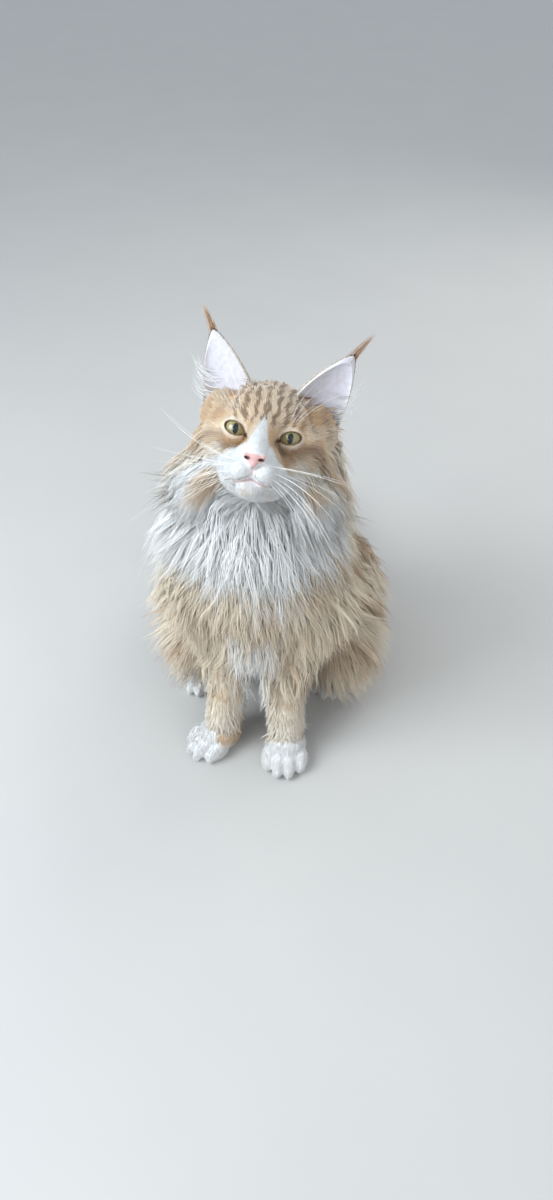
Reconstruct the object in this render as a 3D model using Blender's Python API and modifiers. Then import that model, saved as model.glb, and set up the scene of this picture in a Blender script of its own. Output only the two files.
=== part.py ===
"""Life-size still model of a long-haired cat of a large breed, sitting and looking up.

The cat faces -Y with +Z up. Its left side is at +X. The forepaws stand either side of the
Y axis, and at the end the whole model is shifted so that the origin is on the floor, under
the middle of its bounding box. All sizes are in metres.
"""
import math
import random

import bmesh
import bpy
from mathutils import Euler, Matrix, Vector
from mathutils.bvhtree import BVHTree

# Driving sizes
GAP = 0.0003                 # air left between neighbouring pieces
EYE_LEVEL = 0.400            # height of the eyes above the floor
EYE_SPACING = 0.047          # between the centres of the two eyes
EYE_RADIUS = 0.0112          # eyeball
HEAD_WIDTH = 0.084           # across the skull
NECK_RADIUS = 0.056          # neck with the inner half of its coat
CHEST_WIDTH = 0.150          # chest with the inner half of its coat
HIP_WIDTH = 0.205            # across both thighs
FORELEG_SPACING = 0.074      # between the two forelegs
FORELEG_RADIUS = 0.0190      # forearm with its short coat
PAW_WIDTH = 0.050            # forepaw with its coat
EAR_HEIGHT = 0.064           # from the root in the skull to the tip
TAIL_RADIUS = 0.031          # tail with the inner half of its coat
LOCK_THICKNESS = 0.0056      # of a lock of long coat, at its thickest
ROOT_DEPTH = 0.009           # how far a lock's root is sunk in its node

# Places and turns
HEAD_PLACE = Vector((0.012, 0.014, EYE_LEVEL))       # between the eyes, on the brow
HEAD_TURN = Euler((math.radians(-36), math.radians(9), math.radians(7)), "YXZ")
SIDES = {"left": 1, "right": -1}

COATS = {
    "orange": ((0.62, 0.36, 0.17), 0.85),
    "cream": ((0.72, 0.55, 0.36), 0.85),
    "white": ((0.86, 0.84, 0.80), 0.85),
    "ear": ((0.80, 0.62, 0.50), 0.80),
    "eye": ((0.55, 0.50, 0.14), 0.12),
}

CAT = "Sitting cat"
LOCKS = "Locks"
CUTTERS = "Cutters"


def clear_scene():
    """Removes what the startup file holds."""
    for obj in list(bpy.data.objects):
        bpy.data.objects.remove(obj)


def collection(name):
    """Returns the collection of that name, made and linked where it is new."""
    found = bpy.data.collections.get(name)
    if found is None:
        found = bpy.data.collections.new(name)
        bpy.context.scene.collection.children.link(found)
    return found


def material(name):
    """Returns the coat or eye material of that name."""
    found = bpy.data.materials.get(name)
    if found is None:
        colour, roughness = COATS[name]
        found = bpy.data.materials.new(name)
        found.use_nodes = True
        shader = found.node_tree.nodes["Principled BSDF"]
        shader.inputs["Base Color"].default_value = (*colour, 1)
        shader.inputs["Roughness"].default_value = roughness
        shader.inputs["Metallic"].default_value = 0
    return found


def new_object(name, bm, group):
    """Makes an object from a bmesh, which is freed."""
    mesh = bpy.data.meshes.new(name)
    bm.to_mesh(mesh)
    bm.free()
    obj = bpy.data.objects.new(name, mesh)
    collection(group).objects.link(obj)
    return obj


def set_modifier(obj, kind, **settings):
    """Adds a modifier with those settings."""
    modifier = obj.modifiers.new(kind.title(), kind)
    for name, value in settings.items():
        setattr(modifier, name, value)
    return modifier


def apply_modifiers(obj):
    """Replaces the object's mesh by its evaluated one."""
    bpy.context.view_layer.update()
    graph = bpy.context.evaluated_depsgraph_get()
    mesh = bpy.data.meshes.new_from_object(obj.evaluated_get(graph))
    old = obj.data
    obj.modifiers.clear()
    obj.data = mesh
    bpy.data.meshes.remove(old)


# Forms
def ball(bm, centre, radii, turn=None, detail=3):
    """Adds an ellipsoid, turned by Euler angles in degrees."""
    if isinstance(radii, (int, float)):
        radii = (radii, radii, radii)
    matrix = Matrix.Translation(Vector(centre))
    if turn:
        matrix = matrix @ Euler([math.radians(a) for a in turn]).to_matrix().to_4x4()
    matrix = matrix @ Matrix.Diagonal((*radii, 1))
    bmesh.ops.create_icosphere(bm, subdivisions=detail, radius=1, matrix=matrix)


def on_curve(points, share):
    """The point at that share of a smooth curve through the points, and its direction."""
    last = len(points) - 1
    place = min(max(share, 0), 1) * last
    index = min(int(place), last - 1)
    t = place - index
    p1, p2 = points[index], points[index + 1]
    p0 = points[index - 1] if index > 0 else p1 * 2 - p2
    p3 = points[index + 2] if index + 2 <= last else p2 * 2 - p1
    a, b, c = (p2 - p0) / 2, (p0 * 2 - p1 * 5 + p2 * 4 - p3) / 2, (p1 * 3 - p0 - p2 * 3 + p3) / 2
    return p1 + a * t + b * t * t + c * t ** 3, (a + b * 2 * t + c * 3 * t * t).normalized()


def limb(bm, points, radii, beads=14, detail=2):
    """Adds a row of balls along a smooth curve, whose radii run through those given."""
    points = [Vector(p) for p in points]
    sizes = [Vector((r, 0, 0)) for r in radii]
    for i in range(beads):
        share = i / (beads - 1)
        ball(bm, on_curve(points, share)[0], on_curve(sizes, share)[0].x, detail=detail)


def blend(name, bm, voxel, rounds, group=CAT):
    """Melts overlapping forms into one smooth closed skin."""
    obj = new_object(name, bm, group)
    set_modifier(obj, "REMESH", mode="VOXEL", voxel_size=voxel)
    set_modifier(obj, "SMOOTH", factor=0.5, iterations=rounds)
    apply_modifiers(obj)
    return obj


def melt(name, bm, voxel, rounds, faces, group=CAT):
    """Melts forms into one skin of about that many triangles; a cutter keeps all its pieces."""
    obj = blend(name, bm, voxel, rounds, group)
    thin_out(obj, faces)
    if group == CAT:
        keep_largest(obj)
    return obj


def thin_out(obj, faces):
    """Lowers a closed mesh to about that many triangles, more of them where it bends."""
    mesh = obj.data
    mesh.calc_loop_triangles()
    share = min(1, faces / len(mesh.loop_triangles))
    set_modifier(obj, "TRIANGULATE")
    set_modifier(obj, "DECIMATE", ratio=share)
    apply_modifiers(obj)


def keep_largest(obj):
    """Keeps only the closed surface with the most volume."""
    bm = bmesh.new()
    bm.from_mesh(obj.data)
    bmesh.ops.triangulate(bm, faces=bm.faces)
    seen, shells = set(), []
    for start in bm.faces:
        if start in seen:
            continue
        seen.add(start)
        shell, stack = [], [start]
        while stack:
            face = stack.pop()
            shell.append(face)
            for edge in face.edges:
                for other in edge.link_faces:
                    if other not in seen:
                        seen.add(other)
                        stack.append(other)
        shells.append(shell)
    if len(shells) > 1:
        largest = max(shells, key=shell_volume)
        rest = [face for shell in shells if shell is not largest for face in shell]
        bmesh.ops.delete(bm, geom=rest, context="FACES")
    bm.to_mesh(obj.data)
    bm.free()


def shell_volume(faces):
    """The signed volume inside a closed set of triangles."""
    total = 0
    for face in faces:
        a, b, c = (v.co for v in face.verts)
        total += a.dot(b.cross(c)) / 6
    return total


def surface_of(obj):
    """A search tree of the object's surface, for rays and nearest points."""
    bpy.context.view_layer.update()
    return BVHTree.FromObject(obj, bpy.context.evaluated_depsgraph_get())


def is_inside(tree, point):
    """Whether the point is inside the closed surface of the tree."""
    place, normal, _, _ = tree.find_nearest(point)
    return place is not None and (point - place).dot(normal) < 0


# Locks of long coat
def lock_line(root, lie, normal, length, lift, sag, steps):
    """Points of a lock's middle line: out of the skin at the lift angle, then bending down."""
    start = (lie * math.cos(lift) + normal * math.sin(lift)).normalized()
    end = (start + Vector((0, 0, -1)) * sag).normalized()
    points = [root - start * ROOT_DEPTH]
    place = root.copy()
    points.append(place.copy())
    for i in range(steps):
        share = (i + 0.5) / steps
        place += (start * (1 - share) + end * share).normalized() * length / steps
        points.append(place.copy())
    return points


def clear_of(points, trees, floor, clearance):
    """Bends a lock's line so that it stays outside those surfaces and above the floor."""
    bent = points[:2]
    count = len(points) - 2
    for i, point in enumerate(points[2:]):
        share = (i + 1) / count
        for tree in trees:
            place, normal, _, _ = tree.find_nearest(point, clearance * 6)
            if place is None:
                continue
            height = (point - place).dot(normal)
            wanted = clearance * (1 - 0.35 * share)
            if height < wanted:
                point = place + normal * wanted
        point.z = max(point.z, floor * (1 - 0.4 * share))
        bent.append(point)
    return bent


def lock(name, points, up, width, thickness, extra=0.0, group=LOCKS):
    """Makes one flat, tapered lock round a line, with four sides, ending in a point.

    It starts as a ring, which is extruded from station to station and drawn to its tip.
    """
    bm = bmesh.new()
    ring = bmesh.ops.create_circle(bm, cap_ends=True, radius=1, segments=4)["verts"]
    face = ring[0].link_faces[0]
    profile = (0.66, 1.0, 0.78)
    stations = len(points) - 1
    for i in range(stations):
        here = points[i]
        ahead = points[i + 1] - points[max(i - 1, 0)]
        ahead.normalize()
        across = ahead.cross(up).normalized()
        out = across.cross(ahead).normalized()
        size = profile[min(len(profile) - 1, round(i * (len(profile) - 1) / max(stations - 1, 1)))]
        if i:
            face = bmesh.ops.extrude_discrete_faces(bm, faces=[face])["faces"][0]
        half_w, half_t = width / 2 * size + extra, thickness / 2 * size + extra
        corners = ((1, 0), (0, 1), (-1, 0), (0, -1))
        start = here - ahead * extra if i == 0 else here
        for vert, (w, t) in zip(face.verts, corners):
            vert.co = start + across * half_w * w + out * half_t * t
    tip = points[-1] + (points[-1] - points[-2]).normalized() * extra * 3
    poked = bmesh.ops.poke(bm, faces=[face])["verts"][0]
    poked.co = tip
    bmesh.ops.holes_fill(bm, edges=bm.edges, sides=0)
    bmesh.ops.recalc_face_normals(bm, faces=bm.faces)
    bmesh.ops.triangulate(bm, faces=bm.faces, quad_method="FIXED")
    return new_object(name, bm, group)


class Node:
    """One named piece of the cat: a core, and the locks that grow from it."""

    def __init__(self, core, coat, locks=()):
        self.name = core.name
        self.core = core
        self.coat = coat
        self.locks = list(locks)      # (points, up, width, thickness)

    def bounds(self):
        """Lowest and highest corner of the core with its locks."""
        points = [v.co for v in self.core.data.vertices]
        points += [p for line, _, _, _ in self.locks for p in line]
        low = Vector([min(p[i] for p in points) - 0.02 for i in range(3)])
        high = Vector([max(p[i] for p in points) + 0.02 for i in range(3)])
        return low, high


def roots_on(obj, count, spacing, seed, allowed):
    """Spread points on a surface, no closer than the spacing, where the test allows."""
    rng = random.Random(seed)
    mesh = obj.data
    mesh.calc_loop_triangles()
    triangles = [[mesh.vertices[i].co.copy() for i in t.vertices] for t in mesh.loop_triangles]
    areas = [(b - a).cross(c - a).length / 2 for a, b, c in triangles]
    found = []
    for _ in range(count * 60):
        a, b, c = rng.choices(triangles, weights=areas)[0]
        u, v = rng.random(), rng.random()
        if u + v > 1:
            u, v = 1 - u, 1 - v
        point = a + (b - a) * u + (c - a) * v
        normal = (b - a).cross(c - a).normalized()
        if not allowed(point, normal):
            continue
        if any((point - p).length < spacing for p, _ in found):
            continue
        found.append((point, normal))
        if len(found) == count:
            break
    return found


def grow_locks(core, count, spacing, seed, allowed, lie_of, shape_of, trees):
    """Grows locks from a core, each along the lie of the coat.

    lie_of gives the direction of the coat at a place, and shape_of its length, width,
    lift in degrees and sag. The trees are the surfaces that the locks stay clear of.
    """
    rng = random.Random(seed + 1)
    grown = []
    for root, normal in roots_on(core, count, spacing, seed, allowed):
        length, width, lift, sag = shape_of(root, normal)
        length *= rng.uniform(0.86, 1.12)
        width *= rng.uniform(0.88, 1.12)
        lie = lie_of(root, normal)
        lie = (lie - normal * lie.dot(normal)).normalized()
        side = lie.cross(normal)
        lie = (lie + side * rng.uniform(-0.16, 0.16)).normalized()
        angle = math.radians(lift + rng.uniform(-4, 4))
        line = lock_line(root, lie, normal, length, angle, sag, 2)
        line = clear_of(line, trees, LOCK_THICKNESS, LOCK_THICKNESS * 0.8)
        grown.append((line, normal, width, LOCK_THICKNESS * rng.uniform(0.9, 1.15)))
    return grown


# The head, in its own frame: the origin is between the eyes, -Y is forward
def head_point(*place):
    """A place in the head's own frame, in the cat's frame."""
    return HEAD_PLACE + HEAD_TURN.to_matrix() @ Vector(place)


def place_head_piece(obj):
    """Moves a piece that was made in the head's own frame to its place."""
    obj.data.transform(Matrix.Translation(HEAD_PLACE) @ HEAD_TURN.to_matrix().to_4x4())


def eye_centre(side):
    """Centre of an eyeball, in the head's frame."""
    return Vector((side * EYE_SPACING / 2, 0.0085, 0))


def eyeball(name, side, radius, group=CAT):
    """A round eyeball."""
    bm = bmesh.new()
    bmesh.ops.create_uvsphere(bm, u_segments=12, v_segments=8, radius=radius,
                              matrix=Matrix.Translation(eye_centre(side)))
    obj = new_object(name, bm, group)
    place_head_piece(obj)
    return obj


def skull_forms(bm):
    """Skull, cheeks, jaw and the broad core of the muzzle."""
    half = HEAD_WIDTH / 2
    ball(bm, (0, 0.052, 0.006), (half, 0.050, 0.043))
    ball(bm, (0, 0.022, 0.012), (half * 0.86, 0.030, 0.030))
    ball(bm, (0, 0.085, -0.020), (half * 0.95, 0.036, 0.040))
    ball(bm, (0, -0.006, -0.027), (0.0225, 0.031, 0.0225))
    ball(bm, (0, 0.020, -0.034), (0.034, 0.044, 0.024))
    for side in SIDES.values():
        ball(bm, (side * 0.0330, 0.036, -0.010), (0.0225, 0.036, 0.030))
        ball(bm, (side * 0.0390, 0.050, -0.030), (0.0220, 0.034, 0.030))
        ball(bm, (side * 0.0390, 0.050, 0.010), (0.0200, 0.026, 0.0250))


def face_forms(bm):
    """Nose, whisker pads, chin, lids and brow ridges."""
    limb(bm, [(0, 0.004, 0.007), (0, -0.016, -0.006), (0, -0.034, -0.0180)],
         [0.0150, 0.0108, 0.0080], beads=9)
    ball(bm, (0, -0.0372, -0.0222), (0.0094, 0.0058, 0.0060))
    ball(bm, (0, -0.0378, -0.0272), (0.0046, 0.0048, 0.0050))
    ball(bm, (0, -0.0180, -0.0475), (0.0128, 0.0125, 0.0082))
    for side in SIDES.values():
        ball(bm, (side * 0.0095, -0.0245, -0.0335), (0.0122, 0.0142, 0.0110), turn=(0, side * 20, 0))
        ball(bm, (side * 0.0150, -0.0130, -0.0340), (0.0125, 0.0180, 0.0125))
        ball(bm, eye_centre(side), EYE_RADIUS + 0.0021)
        ball(bm, (side * 0.0220, 0.008, 0.0118), (0.0125, 0.0085, 0.0054), turn=(0, side * -12, 0))


def groove(bm, tree, points, radii, beads):
    """Adds a row of balls that follows a surface as near as it can to a smooth curve."""
    points = [Vector(p) for p in points]
    sizes = [Vector((r, 0, 0)) for r in radii]
    for i in range(beads):
        share = i / (beads - 1)
        place = tree.find_nearest(on_curve(points, share)[0])[0]
        ball(bm, place, on_curve(sizes, share)[0].x, detail=1)


def head_hollows(bm, tree):
    """The openings of the lids, the nostrils and the line of the mouth, as cutters."""
    for side in SIDES.values():
        middle = eye_centre(side) + Vector((side * 0.0006, -0.0085, 0.0002))
        ball(bm, middle, (0.0093, 0.0100, 0.0064), turn=(0, side * -16, 0), detail=3)
        inner = eye_centre(side) + Vector((side * -0.0085, -0.0070, -0.0032))
        ball(bm, inner, (0.0032, 0.0050, 0.0016), turn=(0, side * -38, 0), detail=2)
        ball(bm, (side * 0.0050, -0.0425, -0.0242), (0.0028, 0.0036, 0.0015),
             turn=(0, side * -28, side * -20), detail=2)
        groove(bm, tree, [(0, -0.0350, -0.0400), (side * 0.008, -0.0335, -0.0428),
                          (side * 0.016, -0.0275, -0.0445), (side * 0.0225, -0.0160, -0.0452)],
               [0.0014, 0.0014, 0.0013, 0.0009], 30)
    groove(bm, tree, [(0, -0.0420, -0.0305), (0, -0.0395, -0.0350), (0, -0.0350, -0.0400)],
           [0.0009, 0.0011, 0.0013], 12)


def make_head():
    """The head with its lids, nostrils and mouth."""
    bm = bmesh.new()
    skull_forms(bm)
    skull = blend("skull", bm, 0.0022, 22)
    bm = bmesh.new()
    bm.from_mesh(skull.data)
    face_forms(bm)
    bpy.data.objects.remove(skull)
    head = melt("head", bm, 0.0013, 5, 1300)
    bm = bmesh.new()
    head_hollows(bm, surface_of(head))
    hollows = melt("head_hollows", bm, 0.0005, 1, 400, CUTTERS)
    set_modifier(head, "BOOLEAN", operation="DIFFERENCE", object=hollows, solver="MANIFOLD")
    apply_modifiers(head)
    bpy.data.objects.remove(hollows)
    keep_largest(head)
    place_head_piece(head)
    return head


def cheek_locks(head, trees):
    """Locks of the cheeks, which run back and down into the ruff."""
    turn = HEAD_TURN.to_matrix()

    def local(point):
        return turn.inverted() @ (point - HEAD_PLACE)

    def allowed(point, normal):
        p = local(point)
        side = turn.inverted() @ normal
        return 0.026 < p.y < 0.072 and -0.060 < p.z < 0.010 and abs(side.x) > 0.45

    def lie_of(point, normal):
        side = 1 if local(point).x > 0 else -1
        return turn @ Vector((side * 0.5, 0.7, -0.9))

    def shape_of(point, normal):
        low = max(0.0, min(1.0, (0.012 - local(point).z) / 0.06))
        return 0.032 + 0.018 * low, 0.021, 20, 0.5

    return grow_locks(head, 9, 0.0185, 11, allowed, lie_of, shape_of, trees)


def ear_shell(bm, scale, shift, base):
    """A tall cone drawn into the curved outline of an ear, as a ring that is extruded."""
    rings = 9
    ring = bmesh.ops.create_circle(bm, cap_ends=True, radius=1, segments=20)["verts"]
    face = ring[0].link_faces[0]
    for i in range(rings):
        if i:
            face = bmesh.ops.extrude_discrete_faces(bm, faces=[face])["faces"][0]
        share = i / (rings - 1)
        wide = 0.0245 * (1 - share ** 1.7) ** 0.85 * scale + 0.0012
        deep = 0.0135 * (1 - share ** 1.3) * scale + 0.0012
        height = base + (EAR_HEIGHT * scale - base) * share
        for k, vert in enumerate(face.verts):
            angle = 2 * math.pi * k / len(face.verts)
            vert.co = Vector((wide * math.cos(angle), deep * math.sin(angle) + shift, height))
    bmesh.ops.holes_fill(bm, edges=bm.edges, sides=0)
    bmesh.ops.recalc_face_normals(bm, faces=bm.faces)


def ear_frame(side):
    """Matrix that carries an ear from upright to its place in the head's frame."""
    lean = Euler((math.radians(9), math.radians(side * 22), math.radians(side * 24)), "XYZ")
    return Matrix.Translation((side * 0.0375, 0.047, 0.0255)) @ lean.to_matrix().to_4x4()


def make_ear(name, side):
    """An ear as a thin cup that opens forwards."""
    bm = bmesh.new()
    ear_shell(bm, 1.0, 0.0, -0.004)
    ear = melt(name, bm, 0.0012, 2, 210)
    hollows = bmesh.new()
    ear_shell(hollows, 0.915, -0.0052, 0.002)
    ear_shell(hollows, 0.900, -0.0120, 0.002)
    cup = melt(name + "_cup", hollows, 0.0012, 2, 190, CUTTERS)
    set_modifier(ear, "BOOLEAN", operation="DIFFERENCE", object=cup, solver="MANIFOLD")
    apply_modifiers(ear)
    bpy.data.objects.remove(cup)
    keep_largest(ear)
    ear.data.transform(ear_frame(side))
    place_head_piece(ear)
    return ear


def ear_locks(side):
    """The tuft at an ear's tip and the wisps that leave its cup over the outer edge."""
    turn = HEAD_TURN.to_matrix()
    frame = ear_frame(side)

    def place(x, y, z):
        return HEAD_PLACE + turn @ (frame @ Vector((side * x, y, z)))

    front = (place(0, -1, 0) - place(0, 0, 0)).normalized()
    tip = EAR_HEIGHT
    grown = [([place(0, 0.0, tip - 0.012), place(0.0006, 0.0005, tip + 0.002),
               place(0.0022, 0.0022, tip + 0.013), place(0.0054, 0.0050, tip + 0.025)],
              front, 0.0066, 0.0042)]
    for i in range(3):
        height = 0.021 + 0.0105 * i
        edge = 0.0235 * (1 - (height / EAR_HEIGHT) ** 1.7) ** 0.85
        grown.append(([place(edge * 0.92, 0.0030, height - 0.004), place(edge + 0.0005, -0.0010, height),
                       place(edge + 0.005, -0.0034, height + 0.004),
                       place(edge + 0.011, -0.0032, height + 0.008)], front, 0.0062, 0.0032))
    return grown


# Body cores
def make_neck():
    """The neck, from the back of the skull to the shoulders."""
    bm = bmesh.new()
    start = head_point(0, 0.066, -0.026)
    limb(bm, [start, (0.006, 0.072, 0.345), (0, 0.066, 0.285)],
         [NECK_RADIUS * 0.86, NECK_RADIUS * 0.98, NECK_RADIUS * 1.12], beads=12, detail=3)
    ball(bm, (0, 0.040, 0.300), (0.050, 0.042, 0.050))
    return melt("neck", bm, 0.004, 8, 240)


def make_torso():
    """The chest, barrel and rump in one, as a sitting cat carries them."""
    half = CHEST_WIDTH / 2
    bm = bmesh.new()
    ball(bm, (0, 0.050, 0.235), (half * 0.92, 0.056, 0.075))
    ball(bm, (0, 0.085, 0.215), (half, 0.078, 0.100), turn=(-28, 0, 0))
    ball(bm, (0, 0.135, 0.150), (half * 1.12, 0.090, 0.110), turn=(-34, 0, 0))
    ball(bm, (0, 0.185, 0.098), (half * 1.12, 0.088, 0.090), turn=(-20, 0, 0))
    ball(bm, (0, 0.045, 0.185), (0.052, 0.046, 0.060))
    return melt("torso", bm, 0.005, 12, 380)


def make_foreleg(name, side):
    """A foreleg from the shoulder to the wrist."""
    x = side * FORELEG_SPACING / 2
    bm = bmesh.new()
    limb(bm, [(x * 1.32, 0.040, 0.215), (x * 1.02, 0.043, 0.150), (x * 0.87, 0.022, 0.090),
              (x, 0.006, 0.036)],
         [FORELEG_RADIUS * 1.85, FORELEG_RADIUS * 1.38, FORELEG_RADIUS * 1.05, FORELEG_RADIUS * 0.96],
         beads=20)
    return melt(name, bm, 0.0035, 4, 210)


def make_paw(name, place, turn, length, width, faces):
    """A paw with four toes, flat on the floor, pointing along -Y before its turn."""
    matrix = Matrix.Translation(Vector(place)) @ Matrix.Rotation(math.radians(turn), 4, "Z")
    half = width / 2
    bm = bmesh.new()
    ball(bm, (0, 0.004, 0.0150), (half * 0.90, 0.024, 0.0165))
    ball(bm, (0, 0.010, 0.0230), (half * 0.76, 0.018, 0.0160))
    for x, y in ((-0.72, -0.012), (-0.25, -0.021), (0.25, -0.021), (0.72, -0.012)):
        ball(bm, (half * x, y, 0.0088), (half * 0.30, 0.0150, 0.0108), turn=(8, 0, 0))
        ball(bm, (half * x, y - 0.0095, 0.0065), (half * 0.24, 0.0075, 0.0082))
    if length:
        limb(bm, [(0, 0.010, 0.016), (0, length * 0.5, 0.017), (0, length, 0.020)],
             [half * 0.72, half * 0.66, half * 0.62], beads=9)
    bm.transform(matrix)
    paw = melt(name, bm, 0.0016, 2, faces)
    return paw


def make_haunch(name, side):
    """A folded hind leg: the thigh and the knee, beside the belly."""
    half = HIP_WIDTH / 2
    bm = bmesh.new()
    ball(bm, (side * half * 0.70, 0.168, 0.088), (0.040, 0.080, 0.078), turn=(-12, 0, side * -6))
    ball(bm, (side * half * 0.78, 0.112, 0.072), (0.032, 0.046, 0.058), turn=(10, 0, side * 8))
    ball(bm, (side * half * 0.62, 0.205, 0.062), (0.040, 0.052, 0.058))
    return melt(name, bm, 0.0045, 8, 200)


TAIL_LINE = [Vector(p) for p in ((0.000, 0.228, 0.062), (0.006, 0.285, 0.038), (0.014, 0.342, 0.032),
                                 (-0.010, 0.396, 0.031), (-0.064, 0.424, 0.029),
                                 (-0.122, 0.408, 0.025))]


def make_tail_length(name, start, end, thick, thin):
    """One length of the tail, between two shares of its line."""
    count = 5
    points = [on_curve(TAIL_LINE, start + (end - start) * i / (count - 1))[0] for i in range(count)]
    radii = [thick + (thin - thick) * i / (count - 1) for i in range(count)]
    bm = bmesh.new()
    limb(bm, points, radii, beads=14)
    return melt(name, bm, 0.004, 3, 130)


# Lie of the coat
DOWN = Vector((0, 0, -1))
BACK = Vector((0, 1, 0))


def neck_locks(core, trees):
    """The ruff: long locks all round the neck, longest on the bib in front."""
    low = head_point(0, 0.05, -0.02)

    def allowed(point, normal):
        hidden = is_inside(trees["head"], point) or is_inside(trees["torso"], point)
        return not hidden and normal.z > -0.75 and point.z < low.z + 0.035

    def lie_of(point, normal):
        out = Vector((normal.x, normal.y, 0))
        return DOWN + out * 0.35

    def shape_of(point, normal):
        front = max(0.0, -normal.y)
        rise = max(0.0, min(1.0, (point.z - 0.27) / 0.10))
        return 0.072 + 0.024 * front, 0.040, 19 + 6 * front - 4 * rise, 0.6

    keep = [trees["torso"], trees["foreleg_left"], trees["foreleg_right"]]
    return grow_locks(core, 28, 0.0290, 23, allowed, lie_of, shape_of, keep)


def torso_locks(core, trees):
    """Chest, back and flank locks, which hang down and back over legs and haunches."""
    hiders = ["neck", "haunch_left", "haunch_right", "foreleg_left", "foreleg_right"]

    def allowed(point, normal):
        if any(is_inside(trees[n], point) for n in hiders) or normal.z < -0.35:
            return False
        under_ruff = point.z > 0.262
        return not under_ruff and point.z > 0.060

    def lie_of(point, normal):
        behind = max(0.0, min(1.0, (point.y - 0.03) / 0.10))
        return DOWN + BACK * 0.35 * behind + Vector((normal.x, 0, 0)) * 0.2

    def shape_of(point, normal):
        front = max(0.0, -normal.y)
        side = abs(normal.x)
        if point.y < 0.06:
            return 0.076, 0.038, 16, 0.5
        return 0.068 + 0.016 * side + 0.02 * front, 0.044, 17, 0.45

    keep = [trees[n] for n in hiders[1:]]
    return grow_locks(core, 29, 0.0380, 37, allowed, lie_of, shape_of, keep)


def haunch_locks(core, side, trees):
    """Locks of a haunch, which fall outwards to the floor."""
    def allowed(point, normal):
        hidden = is_inside(trees["torso"], point) or point.z < 0.032
        return not hidden and normal.x * side > 0.05 and normal.z > -0.6

    def lie_of(point, normal):
        return DOWN + BACK * 0.12 + Vector((normal.x, normal.y * 0.6, 0)) * 0.35

    def shape_of(point, normal):
        high = max(0.0, min(1.0, point.z / 0.15))
        return 0.044 + 0.026 * high, 0.043, 17, 0.5

    keep = [trees["hind_paw_" + ("left" if side > 0 else "right")]]
    return grow_locks(core, 11, 0.0330, 57 + side, allowed, lie_of, shape_of, keep)


def tail_locks(core, index, trees):
    """Locks of one length of tail, which point to its tip."""
    def nearest_share(point):
        return min((i / 60 for i in range(61)), key=lambda s: (on_curve(TAIL_LINE, s)[0] - point).length)

    def allowed(point, normal):
        hidden = is_inside(trees["torso"], point)
        return not hidden and normal.z > -0.45 and point.z > 0.006

    def lie_of(point, normal):
        return on_curve(TAIL_LINE, nearest_share(point))[1] + Vector((normal.x, normal.y, 0)) * 0.25

    def shape_of(point, normal):
        ahead = on_curve(TAIL_LINE, nearest_share(point))[1]
        end = max(0.0, normal.dot(ahead) - 0.3)
        return 0.066, 0.042, 17 + 85 * end, 0.12

    counts = (6, 7, 8)
    return grow_locks(core, counts[index], 0.0225, 71 + index, allowed, lie_of, shape_of, [])


def foreleg_locks(core, side, trees):
    """A few locks behind the elbow."""
    def allowed(point, normal):
        return 0.085 < point.z < 0.150 and normal.y > 0.25 and not is_inside(trees["torso"], point)

    def lie_of(point, normal):
        return DOWN + Vector((0, normal.y, 0)) * 0.2

    def shape_of(point, normal):
        return 0.034, 0.014, 24, 0.3

    keep = [trees["haunch_left"], trees["haunch_right"]]
    return grow_locks(core, 3, 0.013, 91 + side, allowed, lie_of, shape_of, keep)


# Putting the nodes together
def cutters_of(node, name):
    """The node's core and locks, each a gap larger, in a collection of their own."""
    group = name + " cutters"
    core = bpy.data.objects.new(name + "_swollen", node.core.data.copy())
    collection(group).objects.link(core)
    set_modifier(core, "DISPLACE", strength=GAP * 1.25, mid_level=0, direction="NORMAL")
    apply_modifiers(core)
    for i, (points, up, width, thickness) in enumerate(node.locks):
        lock(f"{name}_swollen_{i}", points, up, width, thickness, GAP, group)
    for obj in collection(group).objects:
        obj.hide_render = True
        obj.display_type = "WIRE"
    return collection(group)


def near(first, second):
    """Whether the boxes of two nodes meet."""
    low_a, high_a = first.bounds()
    low_b, high_b = second.bounds()
    return all(low_a[i] < high_b[i] and low_b[i] < high_a[i] for i in range(3))


def fuse(nodes):
    """Fuses each node's locks to its core, then cuts it clear of the nodes before it."""
    bare = {node.name: bpy.data.objects.new(node.name + "_bare", node.core.data.copy()) for node in nodes}
    for i, node in enumerate(nodes):
        group = node.name + " locks"
        for k, (points, up, width, thickness) in enumerate(node.locks):
            lock(f"{node.name}_lock_{k}", points, up, width, thickness, 0.0, group)
        if node.locks:
            set_modifier(node.core, "BOOLEAN", operation="UNION", operand_type="COLLECTION",
                         collection=collection(group), solver="MANIFOLD")
            apply_modifiers(node.core)
            for obj in list(collection(group).objects):
                bpy.data.objects.remove(obj)
            keep_largest(node.core)
        for before in nodes[:i]:
            if not near(before, node):
                continue
            stand_in = Node(bare[before.name], before.coat, before.locks)
            cutters = cutters_of(stand_in, before.name)
            set_modifier(node.core, "BOOLEAN", operation="DIFFERENCE", operand_type="COLLECTION",
                         collection=cutters, solver="MANIFOLD")
            apply_modifiers(node.core)
            for obj in list(cutters.objects):
                bpy.data.objects.remove(obj)
        keep_largest(node.core)
    for obj in bare.values():
        bpy.data.objects.remove(obj)
    for name in [c.name for c in bpy.data.collections if c.name not in (CAT,)]:
        bpy.data.collections.remove(bpy.data.collections[name])


def level_feet(nodes):
    """Cuts everything off at the floor, which leaves the flats that the cat rests on."""
    bm = bmesh.new()
    bmesh.ops.create_cube(bm, size=2, matrix=Matrix.Translation((0, 0, -1)))
    floor = new_object("floor", bm, CUTTERS)
    for node in nodes:
        if min(v.co.z for v in node.core.data.vertices) < 0.0005:
            set_modifier(node.core, "BOOLEAN", operation="DIFFERENCE", object=floor, solver="MANIFOLD")
            apply_modifiers(node.core)
            keep_largest(node.core)
    bpy.data.objects.remove(floor)


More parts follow.
